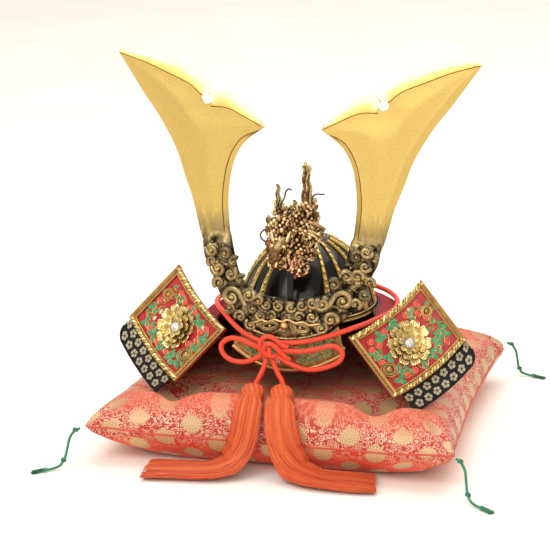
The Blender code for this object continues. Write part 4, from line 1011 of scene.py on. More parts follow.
def make_panel(side, word):
    """A turn-back's red panel with its leaves, berries, vines and rosettes."""
    draw = random.Random(11 + side)
    place = partial(panel_mm, side)
    half_x, half_y = REACH_LENGTH / 2, FOLD_LENGTH / 2
    panel = Shape()
    rows = [[panel_point(side, o / 12, d / 12) for o in range(13)] for d in range(13)]
    panel.slab(rows, panel_point(side, 0.5, 0.5, -2.3) - panel_point(side, 0.5, 0.5), 0, 0.55)
    # Vines: long scrolls that leave the flower and curl in toward the corners.
    for k in range(10):
        angle = tau * k / 10 + 0.3
        reach = 38 + 6 * cos(2 * angle)
        spot = (reach * cos(angle) * 1.02, reach * sin(angle) * 0.86)
        if abs(spot[0]) > half_x - 12 or abs(spot[1]) > half_y - 12:
            spot = clamp(spot[0], 13 - half_x, half_x - 13), clamp(spot[1], 13 - half_y, half_y - 13)
        hand = 1 if k % 2 else -1
        line = spiral(spot, 8.5, 1.35, degrees(angle) + 180, hand, place, 1.2, 8)
        panel.sweep(line, [1.0 - 0.5 * i / len(line) for i in range(len(line))], 6, 1, 0.8)
        for m in range(3):
            leaf(panel, place, spot, angle + m * 2.1 + 0.4, 9.5, 5.2, 2, 1.8, 1)
    # Leaf and berry clusters fill the ground between the flower and the border.
    for row in range(-4, 5):
        for column in range(-5, 6):
            x = column * 10.2 + (5 if row % 2 else 0) + draw.uniform(-1.4, 1.4)
            y = row * 9.4 + draw.uniform(-1.4, 1.4)
            if abs(x) > half_x - 11.5 or abs(y) > half_y - 11.5 or hypot(x, y) < PEONY_RADIUS + 2:
                continue
            pick, spin = draw.random(), draw.uniform(0, tau)
            if pick < 0.34:
                for m in range(3):
                    leaf(panel, place, (x, y), spin + 2.1 * m, 9.2, 5.4, 2, 1.7, 1)
            elif pick < 0.7:
                panel.sweep(ring_on(place, x, y, 3.9, 3.9, 0.8, 12), 0.7, 5, 1, 0.85)
                panel.dome(place(x, y, 0.2), place(x, y, 2) - place(x, y, 0), 3.5, 2.0, 3, 0.8, 12, 3)
            else:
                curl = spiral((x, y), 4.8, 1.2, degrees(spin), 1, place, 1.0, 3)
                panel.sweep(curl, 0.65, 5, 1, 0.85)
                leaf(panel, place, (x, y), spin, 7.6, 4.4, 4 if pick > 0.9 else 2, 1.4, 1)
    # A gilt rosette near the fold and a bud near the outer corner.
    for spot, size in (((-half_x + 17, 12), 9.0), ((half_x - 17, -14), 6.5)):
        for radius, level in ((size, 0.9), (size * 0.72, 1.6)):
            panel.sweep(ring_on(place, *spot, radius, radius, level, 28), 1.2, 8, 1, 0.75)
        panel.dome(place(*spot, 0.6), place(*spot, 2) - place(*spot, 0), size * 0.5, 3.2, 1, 0.6, 14, 4)
    panel.build(f"turnback_{word}_relief", [
        "red_ground_enamel", "border_gilt_copper", "green_leaf_enamel", "red_berry_enamel",
        "white_bud_enamel"], [f"turnback_panel_{word}"], 45)


# Sections of the border's bands: share of the width inward, height over the panel
BEADED_BAND = ((0, 0.3), (0, 2.6), (0.15, 3.4), (0.32, 2.4), (0.66, 2.4), (0.85, 3.4), (1, 2.6), (1, 0.3))
ROPE_BAND = ((0, 0.3), (0, 1.6), (0.9, 1.6), (1, 0.3))


def make_border(side, word):
    """A turn-back's gilt border: beaded bands down its sides, a rope along its top and foot."""
    border = Shape()
    out = panel_mm(side, 0, 0, 1) - panel_mm(side, 0, 0, 0)
    wide, tall = PANEL_BORDER / REACH_LENGTH, PANEL_BORDER / FOLD_LENGTH
    for edge, way in ((0, 1), (1, -1)):
        rows = [[panel_point(side, edge + wide * way * share, clamp(k / 24, tall * share, 1 - tall * share), lift)
                 for share, lift in BEADED_BAND] for k in range(25)]
        border.grid(rows, 0, [[0.4, 0.5, 0.9, 0.35, 0.35, 0.9, 0.5, 0.4]] * 25, closed=True)
        for k in range(1, 16):
            spot = panel_point(side, edge + wide * way * 0.5, 0.09 + 0.82 * k / 16, 2.2)
            border.dome(spot, out, 1.1, 1.0, 0, 0.9, 8, 2)
        rows = [[panel_point(side, clamp(k / 24, wide * share, 1 - wide * share), edge + tall * way * share, lift)
                 for share, lift in ROPE_BAND] for k in range(25)]
        border.grid(rows, 0, [[0.3, 0.6, 0.6, 0.3]] * 25, closed=True)
        line = [panel_point(side, 0.02 + 0.96 * k / 40, edge + tall * way * 0.4, 2.4) for k in range(41)]
        rope(border, line, 3.1, 9.0, 1)
        line = [panel_point(side, 0.05 + 0.9 * k / 40, edge + tall * way * 0.92, 1.8) for k in range(41)]
        border.sweep(even(line, 1.0), 0.9, 6, 0, 0.7, bump=rippled(0.3, 2.6))
    border.build(f"turnback_{word}_border", ["border_gilt_copper", "rope_border_gilt"],
                 [f"turnback_frame_{word}"], 45)


def make_peony(side, word):
    """A gilt peony of three rings of cupped petals round a silvered heart."""
    bloom = Shape()
    draw = random.Random(5)
    place = partial(panel_mm, side)
    rings = ((10, 28.5, 13.0, 1.2, 3.2), (9, 21.5, 8.0, 2.6, 5.0), (8, 14.5, 4.0, 4.0, 6.4))
    for number, (petals, reach, start, low, high) in enumerate(rings):
        for k in range(petals):
            middle = tau * (k + 0.5 * (number % 2)) / petals + draw.uniform(-0.06, 0.06)
            rows, values = [], []
            for i in range(8):
                share = i / 7
                row, tones = [], []
                for j in range(-5, 6):
                    w = j / 5
                    swing = pi / petals * 1.02 * w * sin(pi * (0.30 + 0.56 * share))
                    radius = start + (reach - start) * share
                    ruffle = 0.5 * sin(5 * w * pi + k)
                    if i == 7:
                        radius *= 1 - 0.10 * (1 - abs(w)) ** 2 - 0.16 * abs(w) ** 3 + 0.02 * sin(9 * w)
                    rise = low + (high - low) * share ** 1.4 + 1.6 * abs(w) ** 2 * share + 0.35 * ruffle * share
                    fine = 0.5 * cos(w * pi * 5) * share
                    row.append(place(radius * cos(middle + swing), radius * sin(middle + swing), rise + fine))
                    tones.append(min(1.0, 0.1 + 0.62 * share + (-0.2 if j % 2 else 0.16)))
                rows.append(row)
                values.append(tones)
            out = place(0, 0, 1) - place(0, 0, 0)
            bloom.slab(rows, -out * 0.7, 0, [t + t[::-1] for t in values])
    for k in range(34):
        angle, far = k * GOLDEN_TURN, 0.9 * sqrt(k + 0.3)
        bloom.dome(place(far * cos(angle), far * sin(angle), 6.4 - 0.1 * far * far),
                   place(0, 0, 1) - place(0, 0, 0), 0.95, 1.5, 1, 0.8, 7, 2)
    bloom.dome(place(0, 0, 2.0), place(0, 0, 1) - place(0, 0, 0), 7.5, 4.6, 1, 0.4, 24, 5)
    bloom.build(f"peony_{word}_bloom", ["peony_gilt", "silvered_flower_heart"], [f"peony_{word}"], 60)


def make_strip(side, word):
    """The black leather strip below a turn-back, printed with cherry blossoms in two rows."""
    strip = Shape()
    start, show, tuck = STRIP_CORNER / REACH_LENGTH, STRIP_SHOW / FOLD_LENGTH, STRIP_TUCK / FOLD_LENGTH
    drop = -3.0

    def at(out, down, lift=0.0):
        corner = clamp(1 - (1 - out) * (1 - start) * REACH_LENGTH / STRIP_CORNER)
        cut = STRIP_CORNER * (1 - sqrt(1 - corner * corner)) / FOLD_LENGTH
        return panel_point(side, start + (1 - start) * out, 1 - tuck + (show + tuck - cut) * down, drop + lift)

    outs = [1 - (1 - o / 36) ** 1.5 for o in range(37)]
    rows = [[at(out, d / 8, 0.25 * sin(o * 0.6) * d / 8) for o, out in enumerate(outs)] for d in range(9)]
    strip.slab(rows, panel_point(side, 0.5, 0.5, -1.9) - panel_point(side, 0.5, 0.5), 0, 0.5)
    strip.sweep(even([at(out, 0.985, 0.3) for out in outs], 2), 0.9, 6, 0, 0.3)
    long = REACH_LENGTH * (1 - start)
    deep = STRIP_SHOW + STRIP_TUCK

    def place(x, y, lift):
        return at(x / long, y / deep, lift)

    for row, (y, shift) in enumerate(((16.0, 4.0), (27.6, 10.5))):
        for k in range(8):
            x = shift + k * 13.0
            if x < long - 4:
                flower(strip, place, (x, y), 6.1, 5, 1, 0, 0.5, 0.28, turn=0.5 * k + row)
    strip.build(f"leather_strip_{word}", ["black_dyed_leather", "sakura_print"], [f"turnback_strip_{word}"],
                45)


def make_turn_backs():
    """Each side's red panel with its border, its peony and the printed leather strip."""
    for side, word in SIDES:
        make_panel(side, word)
        make_border(side, word)
        make_peony(side, word)
        make_strip(side, word)


def horn_place(share):
    return Vector((share[0] * HORN_REACH, HORN_FOOT_Z + share[1] * (HORN_TOP_Z - HORN_FOOT_Z)))


def flat_run(rows, per_span=5):
    return [p.xy for p in smooth([(*horn_place(r), 0) for r in rows], per_span)]


def offset_run(line, reach, taper):
    """A line moved sideways by reach, which fades to nothing over taper at its last point."""
    out, total, run = [], length_of(line), 0.0
    for i, spot in enumerate(line):
        ahead = (line[min(i + 1, len(line) - 1)] - line[max(i - 1, 0)]).normalized()
        run += (spot - line[i - 1]).length if i else 0.0
        size = reach * min(1.0, (total - run) / taper) if taper else reach
        out.append(spot + Vector((-ahead.y, ahead.x)) * size)
    return out


# The inner edge of the bevel along the horn's two top lobes, painted pale as a highlight, as shares like the horn's
# edge
HORN_BAND_OUTER = ((0.985, 0.985), (0.84, 0.948), (0.709, 0.901), (0.585, 0.854), (0.51, 0.8))
HORN_BAND_LOBE = ((0.458, 0.75), (0.363, 0.746), (0.264, 0.708), (0.175, 0.668))
HORN_FACE_LIFT = 1.4
HORN_EDGE_SINK = 1.9
HORN_BACK = 4.0


def inside(spot, ring):
    """Whether a flat spot lies inside a closed ring."""
    within = False
    for a, b in zip(ring, ring[1:] + ring[:1]):
        if (a.y > spot.y) != (b.y > spot.y) and spot.x < (b.x - a.x) * (spot.y - a.y) / (b.y - a.y) + a.x:
            within = not within
    return within


def clearance(spot, line, closed=True):
    """How far a flat spot is from a line, or from a ring."""
    near = 1e9
    for a, b in zip(line, line[1:] + (line[:1] if closed else [])):
        span = b - a
        share = clamp((spot - a).dot(span) / max(span.length_squared, 1e-9))
        near = min(near, (spot - a - span * share).length)
    return near


def make_horns():
    """The two gilt horns: a raised face inside a bevel, which is broad along the top and painted pale there as a
    highlight.
    """
    top, lobe = flat_run(HORN_TOP_EDGE), flat_run(HORN_LOBE_EDGE)
    inner, outer = flat_run(HORN_INNER_EDGE), flat_run(HORN_OUTER_EDGE)
    centre = horn_place(HORN_HOLE)
    mouth = (top[-1] + lobe[0]) / 2
    up = (mouth - centre).normalized()
    across = Vector((up.y, -up.x))
    hole = []
    for k in range(23, 0, -1):
        turn = tau * k / 24
        swell = HORN_HOLE_RADIUS * (1 - 0.18 * cos(turn) ** 2)
        hole.append(centre + up * (swell * cos(turn)) - across * (swell * sin(turn)))
    first = centre + up * HORN_HOLE_RADIUS * 0.85 + across * HORN_SLIT / 2
    last = centre + up * HORN_HOLE_RADIUS * 0.85 - across * HORN_SLIT / 2
    edge = top[:-1] + [top[-1], first] + hole + [last] + lobe[:-1] + inner + outer[:-1]
    band_outer, band_lobe = flat_run(HORN_BAND_OUTER), flat_run(HORN_BAND_LOBE)
    face_inner = offset_run(inner[::-1], -6.0, 30.0)[::-1]
    face_outer = offset_run(outer, 8.5, 40.0)
    low_hole = [p for p in hole if (p - centre).dot(up) < 1.5]
    face = band_outer + low_hole + band_lobe + face_inner[1:] + face_outer[:-1]
    tree_points = edge + face
    lines = [(i, (i + 1) % len(edge)) for i in range(len(edge))]
    lines += [(len(edge) + i, len(edge) + (i + 1) % len(face)) for i in range(len(face))]

    # Points about 3.7 mm apart fill the face.
    grid = [Vector((28 + 3.6 * i + (1.8 if j % 2 else 0.0), 220 + 3.75 * j)) for i in range(60) for j in range(66)]
    grid = [spot for spot in grid if inside(spot, face) and clearance(spot, face) > 1.8]
    points, _, faces, sources, _, _ = delaunay_2d_cdt(tree_points + grid, lines, [], 1, 0.02)
    hole_set = set(range(len(top) + 1, len(top) + 1 + len(hole)))
    for side, word in SIDES:
        horn = Shape()
        front, values, creased = [], [], []
        for number, spot in enumerate(points):
            own = sources[number]
            on_face = any(i >= len(edge) for i in own)
            on_edge = any(i < len(edge) for i in own)
            grid_point = any(i >= len(tree_points) for i in own)
            if on_edge and not on_face:
                level = -HORN_EDGE_SINK if not any(i in hole_set for i in own) else 0.2
            else:
                level = HORN_FACE_LIFT + (2.2 * smoothstep(0, 34, clearance(spot, face)) if grid_point else 0.0)
            front.append(Vector((side * spot.x, crest_y(spot.x, spot.y) - level, spot.y)))
            values.append(0.5)
            creased.append(on_face)
        back = [Vector((side * p.x, crest_y(p.x, p.y) + HORN_BACK, p.y)) for p in points]
        above = set()
        for tri in faces:
            middle = sum((points[i] for i in tri), Vector((0, 0))) / 3
            rim = min(clearance(middle, line, False) for line in (top, lobe))
            side_edge = min(clearance(middle, line, False) for line in (inner, outer))
            if not inside(middle, face) and rim < 17 and rim < side_edge:
                above.add(tuple(tri))
        # The band's triangles are kept apart from the face, so that its painted highlight ends in a clean line.
        band_points, split = {}, []
        for tri in faces:
            if tuple(tri) not in above:
                split.append(tri)
                continue
            for i in tri:
                if i not in band_points:
                    band_points[i] = len(front)
                    front.append(front[i].copy())
                    values.append(0.84 if creased[i] else 1.0)
            split.append([band_points[i] for i in tri])
        horn.take(front, split, 0, values)
        shift = len(horn.points)
        horn.take(back, [list(tri)[::-1] for tri in faces], 0, 0.5)
        ring = {}
        for tri in faces:
            for a, b in zip(tri, list(tri[1:]) + [tri[0]]):
                ring[(a, b)] = tuple(tri)
        for (a, b), tri in ring.items():
            if (b, a) not in ring:
                fa, fb = (band_points[a], band_points[b]) if tri in above else (a, b)
                horn.face((fb, fa, shift + a, shift + b))
        # A thin darkened line in the crease between the band and the face
        for crease in (band_outer, band_lobe, face_inner[3:]):
            horn.sweep(even([Vector((side * p.x, crest_y(p.x, p.y) - HORN_FACE_LIFT, p.y)) for p in crease], 2),
                       0.6, 6, 1, 0.2)
        horn.build(f"gilt_horn_{word}", ["sanded_horn_gilt", "border_gilt_copper"], [f"horn_{word}"], 7)


# Curls of the cast base: middle across and up, radius, turns, start, hand, tube radius, tail
BASE_CURLS = (
    (-93.4, 235.1, 6.5, 1.2, 200, 1, 2.6, 8), (-77.5, 231.8, 6.5, 1.2, 120, -1, 2.6, 8),
    (-65.6, 223.7, 6, 1.1, 60, 1, 2.4, 7), (-85.2, 213.7, 8, 1.3, 190, 1, 2.9, 9),
    (-69.3, 209, 7, 1.2, 40, -1, 2.7, 8), (-56.6, 203.2, 6, 1.1, 60, 1, 2.3, 7),
    (-67.3, 181.7, 11, 1.25, 30, 1, 3.4, 16), (-55.9, 159.8, 7, 1.2, 190, -1, 2.6, 8),
    (-42.3, 151.1, 7, 1.2, 150, 1, 2.6, 8), (-84, 197, 7, 1, 210, -1, 2.6, 9), (-69.5, 168.5, 6, 1, 230, 1, 2.6, 6),
    (-46, 186, 7, 1.1, 20, -1, 2.5, 8), (-40, 171, 7, 1.1, 60, 1, 2.5, 8), (-93, 222, 6, 1, 220, -1, 2.4, 7),
    (91.6, 243.1, 6.5, 1.2, -20, -1, 2.6, 8), (80, 236.6, 6.5, 1.2, 60, 1, 2.6, 8),
    (69.5, 213.8, 7, 1.2, 140, -1, 2.7, 8), (81.3, 214.3, 7, 1.2, -10, 1, 2.7, 8),
    (55.6, 204.2, 6.5, 1.2, 120, -1, 2.4, 8), (65.7, 185.1, 11, 1.25, 150, -1, 3.4, 16),
    (42.8, 181.1, 8, 1.3, 160, 1, 2.9, 12), (52.1, 163.4, 8, 1.2, -10, 1, 2.8, 9),
    (79.9, 181.9, 6.5, 1, -40, 1, 2.5, 8), (90, 193.6, 6, 1, -50, -1, 2.4, 7), (95.5, 207.4, 6, 1, -30, 1, 2.3, 7),
    (41.9, 152.3, 6.5, 1.1, 30, -1, 2.4, 8), (31.5, 182.9, 7, 1.2, 20, -1, 2.6, 9),
    (90.5, 226, 6, 1, -40, -1, 2.4, 8), (-23.1, 177.4, 5.6, 1.1, 200, 1, 2, 4),
    (-8.3, 177.2, 5.6, 1.1, 200, 1, 2, 4), (6.3, 176.7, 5.6, 1.1, -20, -1, 2, 4),
    (18.9, 179.3, 5.6, 1.1, -20, -1, 2, 4), (-33, 181, 6, 1.1, 150, -1, 2.2, 6), (-30, 164, 6, 1.1, 200, 1, 2.2, 6),
    (-16, 165.5, 5.5, 1.1, 160, -1, 2, 5), (0, 165.5, 5, 1, 90, 1, 2, 4), (16, 166, 5.5, 1.1, 20, 1, 2, 5),
    (31, 166, 6, 1.1, -20, -1, 2.2, 6),
)


def make_base():
    """The cast base: a lumpy U of clouds and waves with curls, knobs and a ringed ornament at its foot."""
    casting = Shape()
    rise = BASE_TOP_Z - BASE_FOOT_Z

    def run(rows):
        spots = [(r[0] * BASE_HALF_WIDTH, BASE_FOOT_Z + r[1] * rise, 0) for r in rows]
        return even([p.xy for p in smooth(spots, 6)], 2.6)

    def along(line, share):
        goal = share * (len(line) - 1)
        i = min(int(goal), len(line) - 2)
        return line[i].lerp(line[i + 1], goal - i)

    outer, inner = run(BASE_OUTER_EDGE), run(BASE_INNER_EDGE)
    front, values = [], []
    for k in range(-90, 91):
        side, share = (-1 if k < 0 else 1), abs(k) / 90
        a, b = along(inner, share), along(outer, share)
        a = a.lerp(b, 0.085 * smoothstep(0.9, 1.0, share))
        row, tones = [], []
        for r in range(-1, 24):
            across = clamp(r / 22)
            spot = a.lerp(b, across)
            x, z = side * spot.x, spot.y
            edge = min(1.0, 4.2 * min(across, 1 - across)) ** 0.5
            puff = noise.noise(Vector((x, z, 0)) * 0.075)
            ripple = abs(noise.noise(Vector((x * 0.9 + 14, z, 5)) * 0.14))
            lump = 2.6 * puff + 4.6 * (0.3 - ripple)
            back = BASE_WALL if r in (-1, 23) else 0.0
            top = smoothstep(BASE_TOP_Z + 1, BASE_TOP_Z - 26, z)
            lift = -back - 2.6 * (1 - edge) + lump * edge * top - (0 if back else (BASE_WALL - 1.2) * (1 - top))
            row.append(base_front(x, z, lift))
            # Painted shade: the ground darkens in a ring where each curl meets it.
            moat = min(abs(hypot(x - c[0], z - c[1]) - c[2] - c[6] - 0.6) for c in BASE_CURLS)
            tone = 0.56 + 0.13 * lump * edge - 0.1 * (1 - edge) - 0.34 * smoothstep(2.6, 0.4, moat)
            tones.append(clamp(tone, 0.02, 0.78))
        front.append(row)
        values.append(tones)
    casting.grid(front, 0, values)
    count = len(front[0])
    for i in range(len(front) - 1):
        casting.face((i * count, (i + 1) * count, (i + 2) * count - 1, (i + 1) * count - 1))
    for i in (0, len(front) - 1):
        casting.face(range(i * count, (i + 1) * count))
    # The smooth tops of the casting carry on the horns' worn gilding.
    for number, corners in enumerate(casting.faces):
        if min(casting.points[i][2] for i in corners) > BASE_TOP_Z - 12:
            casting.finish[number] = 3

    for x, z, radius, turns, start, hand, thick, tail in BASE_CURLS:
        tail *= 1.0 if radius > 8 else 0.35
        line = smooth(spiral((x, z), radius, turns, start, hand, base_front, 3.4, tail), 2)
        sizes = [1.22 * thick * (0.5 + 0.5 * sin(pi * min(1.0, 0.2 + i / len(line)))) for i in range(len(line))]
        tones = [0.44 + 0.3 * (0.5 - 0.5 * cos(tau * m / 10 + 1.6)) for m in range(10)] * len(line)
        casting.sweep(line, sizes, 10, 0, tones)
        casting.dome(base_front(x, z, 1.6), (0, -1, 0.1), radius * 0.36, 3.8, 0, 0.9, 12, 4)
    draw = random.Random(3)
    for k in range(170):
        share, across = draw.random(), draw.uniform(0.08, 0.92)
        side = draw.choice((-1, 1))
        spot = along(inner, share).lerp(along(outer, share), across)
        x, z = side * spot.x, spot.y
        if z > 246 or any(hypot(x - c[0], z - c[1]) < c[2] * 0.9 for c in BASE_CURLS):
            continue
        size = draw.uniform(1.3, 2.6)
        casting.dome(base_front(x, z, 0.2), Vector((draw.uniform(-0.3, 0.3), -1, 0.2)), size, size * 0.9, 0,
                     draw.uniform(0.45, 0.85), 9, 3)
    # The ornament at the foot: a gold knob between two almond rings with dark hearts.
    casting.dome(base_front(-0.8, 154.9, 1.5), (0, -1, 0.15), 5.2, 6.0, 1, 0.9, 18, 5)
    for x in (-18.5, 17.5):
        for reach, tall, lift, thick in ((10.5, 5.2, 3.2, 1.5), (8.0, 3.2, 2.4, 0.9)):
            ring = []
            for k in range(33):
                turn = tau * k / 32
                ring.append(base_front(x + reach * cos(turn), 153.5 + tall * sin(turn)
                                  + 1.6 * cos(turn) * (1 if x < 0 else -1), lift))
            casting.sweep(ring, thick, 8, 0 if thick > 1 else 1, 0.62)
        pit = [ring_on(base_front, x, 153.5, reach, tall, lift, 24)[:-1]
               for reach, tall, lift in ((8.6, 3.8, 2.2), (0.4, 0.2, 1.8))]
        casting.grid(pit, 2, 0.0, closed=True)
        casting.dome(base_front(x, 153.0, 1.2), (0, -1, 0), 2.3, 2.6, 1, 0.6, 10, 3)
    lip = [base_front(48 * k / 20, 161.5 - 0.6 * abs(k) ** 1.15 / 3 + 1.2 * sin(k * 0.9), 3.2)
           for k in range(-16, 17)]
    casting.sweep(smooth(lip, 2), 1.6, 8, 1, 0.8)
    keel = [base_front(52 * k / 20, 139.5 + 0.0042 * (52 * k / 20) ** 2, 2.2) for k in range(-17, 18)]
    casting.sweep(smooth(keel, 2), 1.9, 8, 0, 0.75, bump=rippled(0.2, 1.1))
    # A block behind the casting seats it on the bowl.
    rear, fore = bowl_point(0, 156, 0.5).y, base_front(0, 161).y + BASE_WALL / 2
    casting.slab([[Vector((x, fore, z)) for x in (-8, 8)] for z in (156, 166)], Vector((0, rear - fore, 0)), 0, 0.1)
    casting.build("cast_crest_base", ["antique_cast_bronze", "worn_ornament_gilt", "black_urushi_plate",
                                      "sanded_horn_gilt"],
                  ["crest_base"], 60)


# Masses of the dragon: middle, half sizes
DRAGON_MASSES = (
    ((6, -112, 247), (19, 14, 22)), ((14, -107, 274), (19, 14, 17)), ((-7, -118, 267), (18, 14, 17)),
    ((-9, -124, 247), (15, 13, 17)), ((-10, -122, 232), (11, 10, 10)), ((13, -118, 221), (11, 9, 9)),
    ((20, -108, 289), (10, 9, 11)), ((-10, -110, 286), (9, 8, 9)), ((28, -108, 260), (11, 8, 11)),
    ((22, -110, 240), (10, 9, 12)),
)


def make_dragon():
    """The dragon crest: a coiled, scaled mass with a maned head, two spires, whiskers and a claw."""
    beast = Shape()
    draw = random.Random(21)
    for centre, half in DRAGON_MASSES:
        centre = Vector(centre)
        rows = []
        for i in range(1, 12):
            tall = pi * i / 12
            rows.append([centre + Vector((half[0] * sin(tall) * cos(tau * k / 20),
                                          half[1] * sin(tall) * sin(tau * k / 20),
                                          half[2] * cos(tall))) * 0.93 for k in range(20)])
        beast.grid(rows, 0, 0.12, closed=True)
        # Curls and beads stand on the mass wherever another mass doesn't cover it.
        area = half[0] * half[1] + half[1] * half[2] + half[0] * half[2]
        for k in range(int(area / 6.2)):
            z = 1 - 2 * (k + 0.5) / int(area / 6.2)
            turn = k * GOLDEN_TURN
            flat = sqrt(1 - z * z)
            way = Vector((flat * cos(turn), flat * sin(turn), z))
            spot = centre + Vector((way.x * half[0], way.y * half[1], way.z * half[2])) * 0.95
            if any(sum(((spot[a] - Vector(c)[a]) / (h[a] * 0.9)) ** 2 for a in range(3)) < 1
                   for c, h in DRAGON_MASSES if Vector(c) != centre):
                continue
            out = Vector((way.x / half[0], way.y / half[1], way.z / half[2])).normalized()
            size = draw.uniform(1.3, 2.7)
            copper = 0.75 if (spot.x < -4 and 240 < spot.z < 268) or (spot.x > 4 and spot.z < 226) else 0.12
            tint = 0 if draw.random() < copper else 4
            if draw.random() < 0.76:
                beast.dome(spot, out, size * 1.25, size * 0.85, tint, draw.uniform(0.35, 1.0), 10, 3)
            else:
                # A lock of the mane: out of the body, then curving upward to a point
                bent = out.cross(UP) * draw.uniform(-3.5, 3.5)
                rise = UP if spot.z > 240 else Vector((0, -0.55, -0.15))
                lock = smooth([spot, spot + out * 1.8 + rise * 1.8, spot + out * 2.8 + rise * 3.8 + bent * 0.5,
                               spot + out * 2.2 + rise * 6.0 + bent], 3)
                beast.sweep(lock, [2.1, 2.2, 2.2, 2.1, 1.9, 1.7, 1.4, 1.1, 0.7, 0.3][:len(lock)], 7, tint,
                            draw.uniform(0.35, 0.9))
    # Spires, with rows of scales up each side
    for foot, tip, wide, thin in (((21, -108, 292), (18.6, -108, 341), 7.6, 3.6),
                                  ((-13.4, -109, 284), (-14, -110, 318), 5.0, 1.4),
                                  ((27, -107, 283), (30, -107, 303), 3.4, 1.2),
                                  ((8, -110, 286), (6, -110, 300), 4.0, 1.6),
                                  ((-4, -112, 280), (-3, -112, 293), 4.0, 1.4)):
        foot, tip = Vector(foot), Vector(tip)
        line = [foot.lerp(tip, k / 24) + Vector((0.8 * sin(k * 0.7), 0, 0)) for k in range(25)]
        sizes = [wide + (thin - wide) * (k / 24) ** 0.8 for k in range(25)]
        beast.sweep(line, sizes, 10, 4, 0.35, flat=0.75,
                    bump=lambda turn, run: 1 + 0.14 * sin(run * 2.2 + 2 * cos(turn)))
        for m in range(6):
            ridge = []
            for k in range(25):
                turn = tau * m / 6 + 0.05 * k
                ridge.append(line[k] + Vector((cos(turn) * 0.92, sin(turn) * 0.68, 0)) * sizes[k])
            beast.sweep(ridge, [0.55 + 0.13 * size for size in sizes], 6, 4, 0.75, bump=rippled(0.35, 1.5))
    # The ring near the tall spire's tip, and its point
    ring = [(20.2 + 4.2 * cos(t / 18 * tau), -108, 336.5 + 5.6 * sin(t / 18 * tau)) for t in range(19)]
    beast.sweep(ring, 1.5, 8, 4, 0.85)
    beast.sweep(((18.6, -108, 339), (18.2, -108, 344), (18, -108, 347)), [2.6, 1.7, 0.5], 8, 4, 0.8)
    # Head: a muzzle with brows, nostrils, jaws and fangs, looking down over the bowl
    muzzle = ((-3, -128, 256), (-8, -135, 250), (-12, -139, 243), (-14, -141, 236), (-15, -141, 231))
    beast.sweep(smooth(muzzle, 3), [9.5, 9.6, 9.4, 9.0, 8.4, 7.8, 7.4, 7.2, 7.0, 6.8, 6.2, 5.2, 3.4], 14, 4, 0.5,
                flat=0.75, bump=rippled(0.07, 1.6))
    jaw = ((-6, -128, 239), (-11, -133, 230), (-14, -135, 223))
    beast.sweep(smooth(jaw, 3), [6.4, 6.0, 5.6, 5.2, 4.6, 3.8, 2.6], 12, 0, 0.4, flat=0.6)
    for side in (-1, 1):
        brow = [(-6 + side * 7.5 + side * k * 0.8, -134 + 0.8 * k, 256 + 2.4 * k) for k in range(6)]
        beast.sweep(brow, [2.6, 2.8, 2.6, 2.2, 1.6, 0.8], 8, 4, 0.85)
        beast.dome((-7 + side * 6.6, -138, 251), (side * 0.4, -1, 0.2), 2.4, 2.2, 1, 0.9, 12, 4)
        beast.dome((-14 + side * 3.6, -144.5, 238), (side * 0.4, -1, 0.3), 2.1, 2.2, 0, 0.95, 10, 3)
        for k in range(3):
            fang = ((-13 + side * (5 - k), -140 + 1.5 * k, 233 - k),
                    (-13.5 + side * (4.6 - k), -141 + 1.5 * k, 226.5))
            beast.sweep(fang, [1.2, 0.3], 6, 1, 1.0)
        horn = smooth(((-5 + side * 5, -124, 262), (-4 + side * 9, -119, 272), (-4 + side * 10, -114, 282)), 4)
        beast.sweep(horn, [2.6 - 0.22 * k for k in range(len(horn))], 8, 4, 0.7)
    # Whiskers of wire, the claw and the beard below the jaw
    for route in (
        ((-9.8, -116, 288), (-8.6, -117, 296), (-4.5, -118, 304), (-2.8, -118, 311), (0.6, -118, 315),
         (4.4, -118, 313.8)),
        ((26, -112, 296), (27.4, -113, 303.7), (31.0, -114, 309), (42.2, -114, 309.8)),
        ((-19, -118, 268), (-26.0, -120, 266.5), (-31.6, -121, 261.5), (-31.4, -121, 255.5), (-26.4, -120, 251)),
    ):
        beast.sweep(smooth(route, 5), 1.05, 7, 2, 0.5)
    arm = smooth(((22, -114, 276), (31, -116, 275), (38, -117, 271.5), (43.6, -118, 268.2)), 3)
    beast.sweep(arm, [3.4, 3.2, 3.0, 2.8, 2.7, 2.6, 2.6, 2.5, 2.5, 2.4], 9, 4, 0.5, bump=rippled(0.1, 2.4))
    for drop in (0, 4.5, 9):
        bar = smooth(((20, -113, 272 - drop), (27, -115, 271 - drop), (33, -113, 267 - drop)), 3)
        beast.sweep(bar, [2.0] * 7, 7, 4, 0.8, bump=rippled(0.18, 2.8))
    for k in range(16):
        x = -22 + 2.6 * k
        start = Vector((x * 0.8 + 2, -124 + abs(k - 8) * 0.6, 232 + 4 * sin(k * 1.7)))
        lock = smooth([start, start + Vector((draw.uniform(-3, 3), -4, -4)),
                       start + Vector((draw.uniform(-4, 4), -4, -7 - 2 * sin(k)))], 3)
        beast.sweep(lock, [2.4, 2.3, 2.1, 1.8, 1.5, 1.0, 0.5], 7, 0, draw.uniform(0.5, 0.95))
    # The dark tongue that rises from behind the base
    lip_z = BASE_FOOT_Z + 0.395 * (BASE_TOP_Z - BASE_FOOT_Z)
    fore = base_front(4.5, lip_z).y + BASE_WALL + 0.3
    beast.slab([[Vector((x, fore, z)) for x in (0.0, 7.0)] for z in (lip_z - 8, 236)], Vector((0, 4, 0)), 3, 0.4)
    beast.build("dragon_figure", ["coppered_dragon_bronze", "peony_gilt", "wire_of_dark_steel", "black_urushi_plate",
                                  "browned_dragon_bronze"],
                ["dragon_crest"], 60)


def braid(turn, run):
    """The raised diamonds of a round braid, as a factor on its radius."""
    one = abs(cos(2 * turn + pi * run / 3.4))
    two = abs(cos(2 * turn - pi * run / 3.4))
    return 0.90 + 0.12 * max(one, two)


